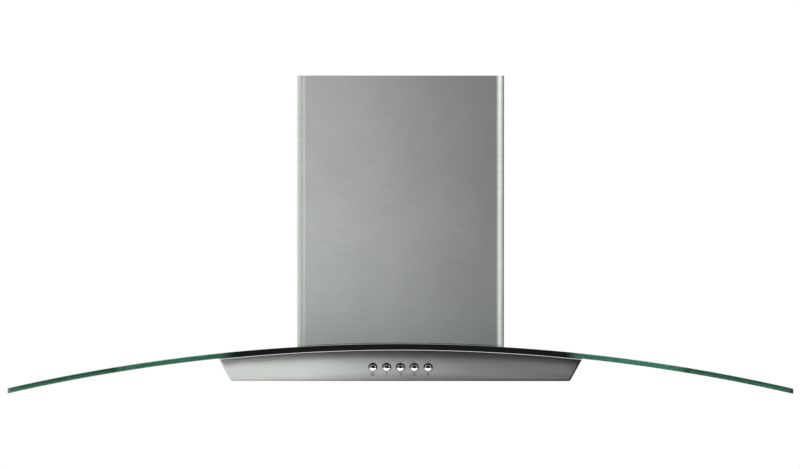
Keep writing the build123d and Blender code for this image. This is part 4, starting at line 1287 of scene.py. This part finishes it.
@dataclass(frozen=True)
class Softbox(Panel):
    """A softbox that lights the gloss of a few pieces and nodes alone.

    Args:
        lights: their names.
    """

    lights: tuple[str, ...] = ()

    def build(self) -> None:
        """Hangs the softbox: an area lamp turned so that its X and Y run along the panel's sides."""
        corner, along, up = (Vector(v) for v in (self.corner, self.along, self.up))
        data = bpy.data.lights.new(self.name, "AREA")
        data.shape, data.size, data.size_y = "RECTANGLE", along.length, up.length
        data.energy = math.pi * along.length * up.length
        tree = empty_tree(data)
        add_node(tree, "OutputLight", {"Surface": self.glow(tree)})
        lamp = add_object(self.name, data)
        lamp.location = corner + (along + up) / 2
        across, rise = along.normalized(), up.normalized()
        lamp.rotation_euler = Matrix((across, rise, across.cross(rise))).transposed().to_euler()
        self.show_in_gloss_alone(lamp)
        lit = bpy.data.collections.new(f"{self.name}_lights")
        for name in self.lights:
            lit.objects.link(bpy.data.objects.get(name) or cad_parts[name])
        lamp.light_linking.receiver_collection = lit


CHIMNEYS = ("lower_chimney", "upper_chimney")
FOLDED = ("folded_fascia", "folded_shell")
CAPS = tuple(f"cap_{mark.value}" for mark in Mark)
BUTTONS = CAPS + tuple(f"ring_{mark.value}" for mark in Mark)

CARDS = (
    Card("dark_room", (-3.3, -3.0, -0.8), (6.6, 0, 0), (0, 0, 4.3), 0),
    Card("dark_left", (-3.3, -3.0, -0.8), (0, 2.1, 0), (0, 0, 4.3), 0),
    Card("dark_right", (3.3, -3.0, -0.8), (0, 2.1, 0), (0, 0, 4.3), 0),
    Card("rear_flag", (1.93, 0.64, -0.3), (-1.31, 1.007, 0), (0, 0, 2.1), 0.2),
    Card("right_flag", (1.0, -2.2, -0.88), (0, 3.2, 0), (0, 0, 0.86), 0.02),
    Card("low_card", (-0.5, -1.6, -0.35), (1.5, 0, 0), (0, 1.7, 0), 0.75,
         ((0, 1.0), (0.19, 1.0), (0.25, 0.5), (0.333, 0.2), (0.467, 0.065), (1.0, 0.035))),
)

SOFTBOXES = (
    Softbox("left_softbox", (-3.2, -0.9, -0.8), (2.3, -2.1, 0), (0, 0, 3.3), 0.68,
            lights=CHIMNEYS + FOLDED),
    Softbox("gap_softbox", (0.9, -2.98, -0.8), (1.44, 0, 0), (0, 0, 3.3), 1.0, lights=CHIMNEYS),
    Softbox("right_softbox", (1.35, -1.78, -0.05), (0.7, 1.06, 0), (0, 0, 1.85), 1.95, lights=CHIMNEYS),
    Softbox("chimney_softbox", (-0.4, -0.9, -0.15), (0.8, 0, 0), (0, 0, 0.8), 0.93,
            ((0, 1.0), (0.3625, 1.0), (0.6375, 0.34), (1.0, 0.3)),
            ((0, 1.0), (0.25, 1.0), (0.55, 0.7), (1.0, 0.66)), lights=CHIMNEYS),
    Softbox("fascia_softbox", (-0.4, -0.9, 0.05), (0.8, 0, 0), (0, 0, 0.55), 16.8,
            ((0, 1.0), (0.26, 1.0), (0.3, 0.93), (0.33, 0.78), (0.356, 0.64), (0.3925, 0.45),
             (0.4275, 0.305), (0.4425, 0.29), (0.5, 0.2), (0.556, 0.132), (0.571, 0.125), (0.606, 0.12),
             (0.65, 0.24), (0.68, 0.29), (0.735, 0.295), (1.0, 0.3)),
            ((0, 0.07), (0.15, 0.14), (0.22, 0.45), (0.3, 0.85), (0.45, 1.04), (1.0, 1.3)),
            lights=("folded_fascia",)),
    Softbox("bead_softbox", (-0.8, -0.9, -0.3), (1.6, 0, 0), (0, 0, 0.36), 2.6, lights=("bright_bead",)),
    Softbox("button_arch", (-0.8, -0.9, -0.17), (1.6, 0, 0), (0, 0, 0.75), 0.5,
            mound=(0.5, 0.46), lights=CAPS),
    Softbox("button_table", (-0.8, -0.9, -0.34), (1.6, 0, 0), (0, 0, 0.17), 1.6, lights=BUTTONS),
    Softbox("button_floor", (0.8, -0.9, -0.34), (-1.6, 0, 0), (0, 1.0, 0), 1.6, lights=BUTTONS),
)


@dataclass
class Studio:
    """A white studio: soft light, a pale floor, cards that only the gloss sees, and the camera."""

    distance: float = 22.0
    camera_z: float = 0.13
    photo_width: float = 0.9164
    reference_y: float = -0.37
    aim_x: float = -0.0006
    aim_z: float = 0.16726
    roll: float = -0.0005
    sensor: float = 36.0
    floor_z: float = -0.9
    floor_y: float = -0.25
    floor_radius: float = 3.2
    floor_sides: int = 64
    ambient: float = 0.62
    key_place: Triple = (-1.3, -1.9, 1.9)
    key_aim: Triple = (1.3, 1.7, -1.75)
    key_size: float = 1.6
    key_power: float = 26.0

    def build_camera(self) -> None:
        """Puts the camera far in front of the hood, with a long lens that frames it as the photograph does."""
        data = bpy.data.cameras.new("camera")
        reach = self.distance + self.reference_y
        data.sensor_width = self.sensor
        data.lens = self.sensor * reach / self.photo_width
        data.clip_start, data.clip_end = 0.1, 200.0
        camera = add_object("camera", data)
        camera.location = (self.aim_x, -self.distance, self.camera_z)
        pitch = math.atan2(self.aim_z - self.camera_z, reach)
        camera.rotation_euler = (math.pi / 2 + pitch, self.roll, 0)
        bpy.context.scene.camera = camera

    @staticmethod
    def seen_directly(tree: Tree) -> Node:
        """Gives 1 for rays from the camera, off gloss and through glass, and 0 for all others.

        Args:
            tree: the node tree.

        Returns:
            The node with that value.
        """
        path = add_node(tree, "LightPath").outputs
        level = path["Is Camera Ray"]
        for kind in ("Is Glossy Ray", "Is Transmission Ray"):
            level = add_node(tree, "Math", {0: level, 1: path[kind]}, operation="MAXIMUM")
        return level

    def build_world(self) -> None:
        """Makes the world white where it is seen, and a softer grey where it lights."""
        world = bpy.data.worlds.new("studio")
        tree = empty_tree(world)
        light, white = (add_node(tree, "Background", {"Color": (1, 1, 1, 1), "Strength": strength})
                        for strength in (self.ambient, 1.0))
        mixed = add_node(tree, "MixShader", {0: self.seen_directly(tree), 1: light, 2: white})
        add_node(tree, "OutputWorld", {"Surface": mixed})
        bpy.context.scene.world = world

    def build_floor(self) -> None:
        """Lays a pale round floor that keeps a soft shadow, fades out at its rim and is clear from below."""
        rings = np.linspace(0, self.floor_radius, 5)
        profile = np.stack([rings, np.zeros_like(rings)], axis=1)
        middle = np.array([0, self.floor_y, self.floor_z])
        floor = make_mesh("floor", *lathe(profile, middle, UP, self.floor_sides))
        if floor.data.polygons[0].normal.z < 0:
            floor.data.flip_normals()
        material = bpy.data.materials.new("pale_floor")
        tree = empty_tree(material)
        spot = add_node(tree, "TexCoord")
        level = add_node(tree, "VectorMath", {0: spot.outputs["Object"], 1: (1, 1, 0)}, operation="MULTIPLY")
        away = add_node(tree, "VectorMath", {0: level}, operation="LENGTH")
        rim = add_node(tree, "MapRange", {
            "Value": away.outputs["Value"], "From Min": 0.3 * self.floor_radius,
            "From Max": 0.85 * self.floor_radius, "To Min": 0.6, "To Max": 1.0})
        share = add_node(tree, "Math", {0: rim, 1: self.seen_directly(tree)}, operation="MULTIPLY")
        paint = add_node(tree, "BsdfDiffuse", {"Color": linear("F2F2F0")})
        white = add_node(tree, "Emission", {"Strength": 1.0})
        seen = add_node(tree, "MixShader", {0: share, 1: paint, 2: white})
        clear = add_node(tree, "BsdfTransparent")
        facing = add_node(tree, "NewGeometry")
        both = add_node(tree, "MixShader", {0: facing.outputs["Backfacing"], 1: seen, 2: clear})
        add_node(tree, "OutputMaterial", {"Surface": both})
        floor.data.materials.append(material)

    def build_key(self) -> None:
        """Hangs one large soft lamp at the upper left, which shapes the matt pieces."""
        data = bpy.data.lights.new("key", "AREA")
        data.shape, data.size, data.energy = "DISK", self.key_size, self.key_power
        lamp = add_object("key", data)
        lamp.location = self.key_place
        x, y, z = self.key_aim
        lamp.rotation_euler = (math.atan2(math.hypot(x, y), -z), 0, math.atan2(-x, y))
        lamp.visible_glossy = False

    def build(self) -> None:
        """Makes the whole studio."""
        bpy.context.scene.view_settings.view_transform = "Standard"
        self.build_camera()
        self.build_world()
        self.build_floor()
        self.build_key()
        for panel in (*CARDS, *SOFTBOXES):
            panel.build()


def main() -> None:
    """Builds each sub-assembly in order, then the studio."""
    logging.basicConfig(level=logging.INFO, format="%(name)s: %(message)s")
    for kind in (GlassCanopy, HoodBody, PushButtons, GreaseFilters, Lamps, Blower, Chimney, Studio):
        LOG.info("building %s", kind.__name__)
        kind().build()


if __name__ == "__main__":
    main()
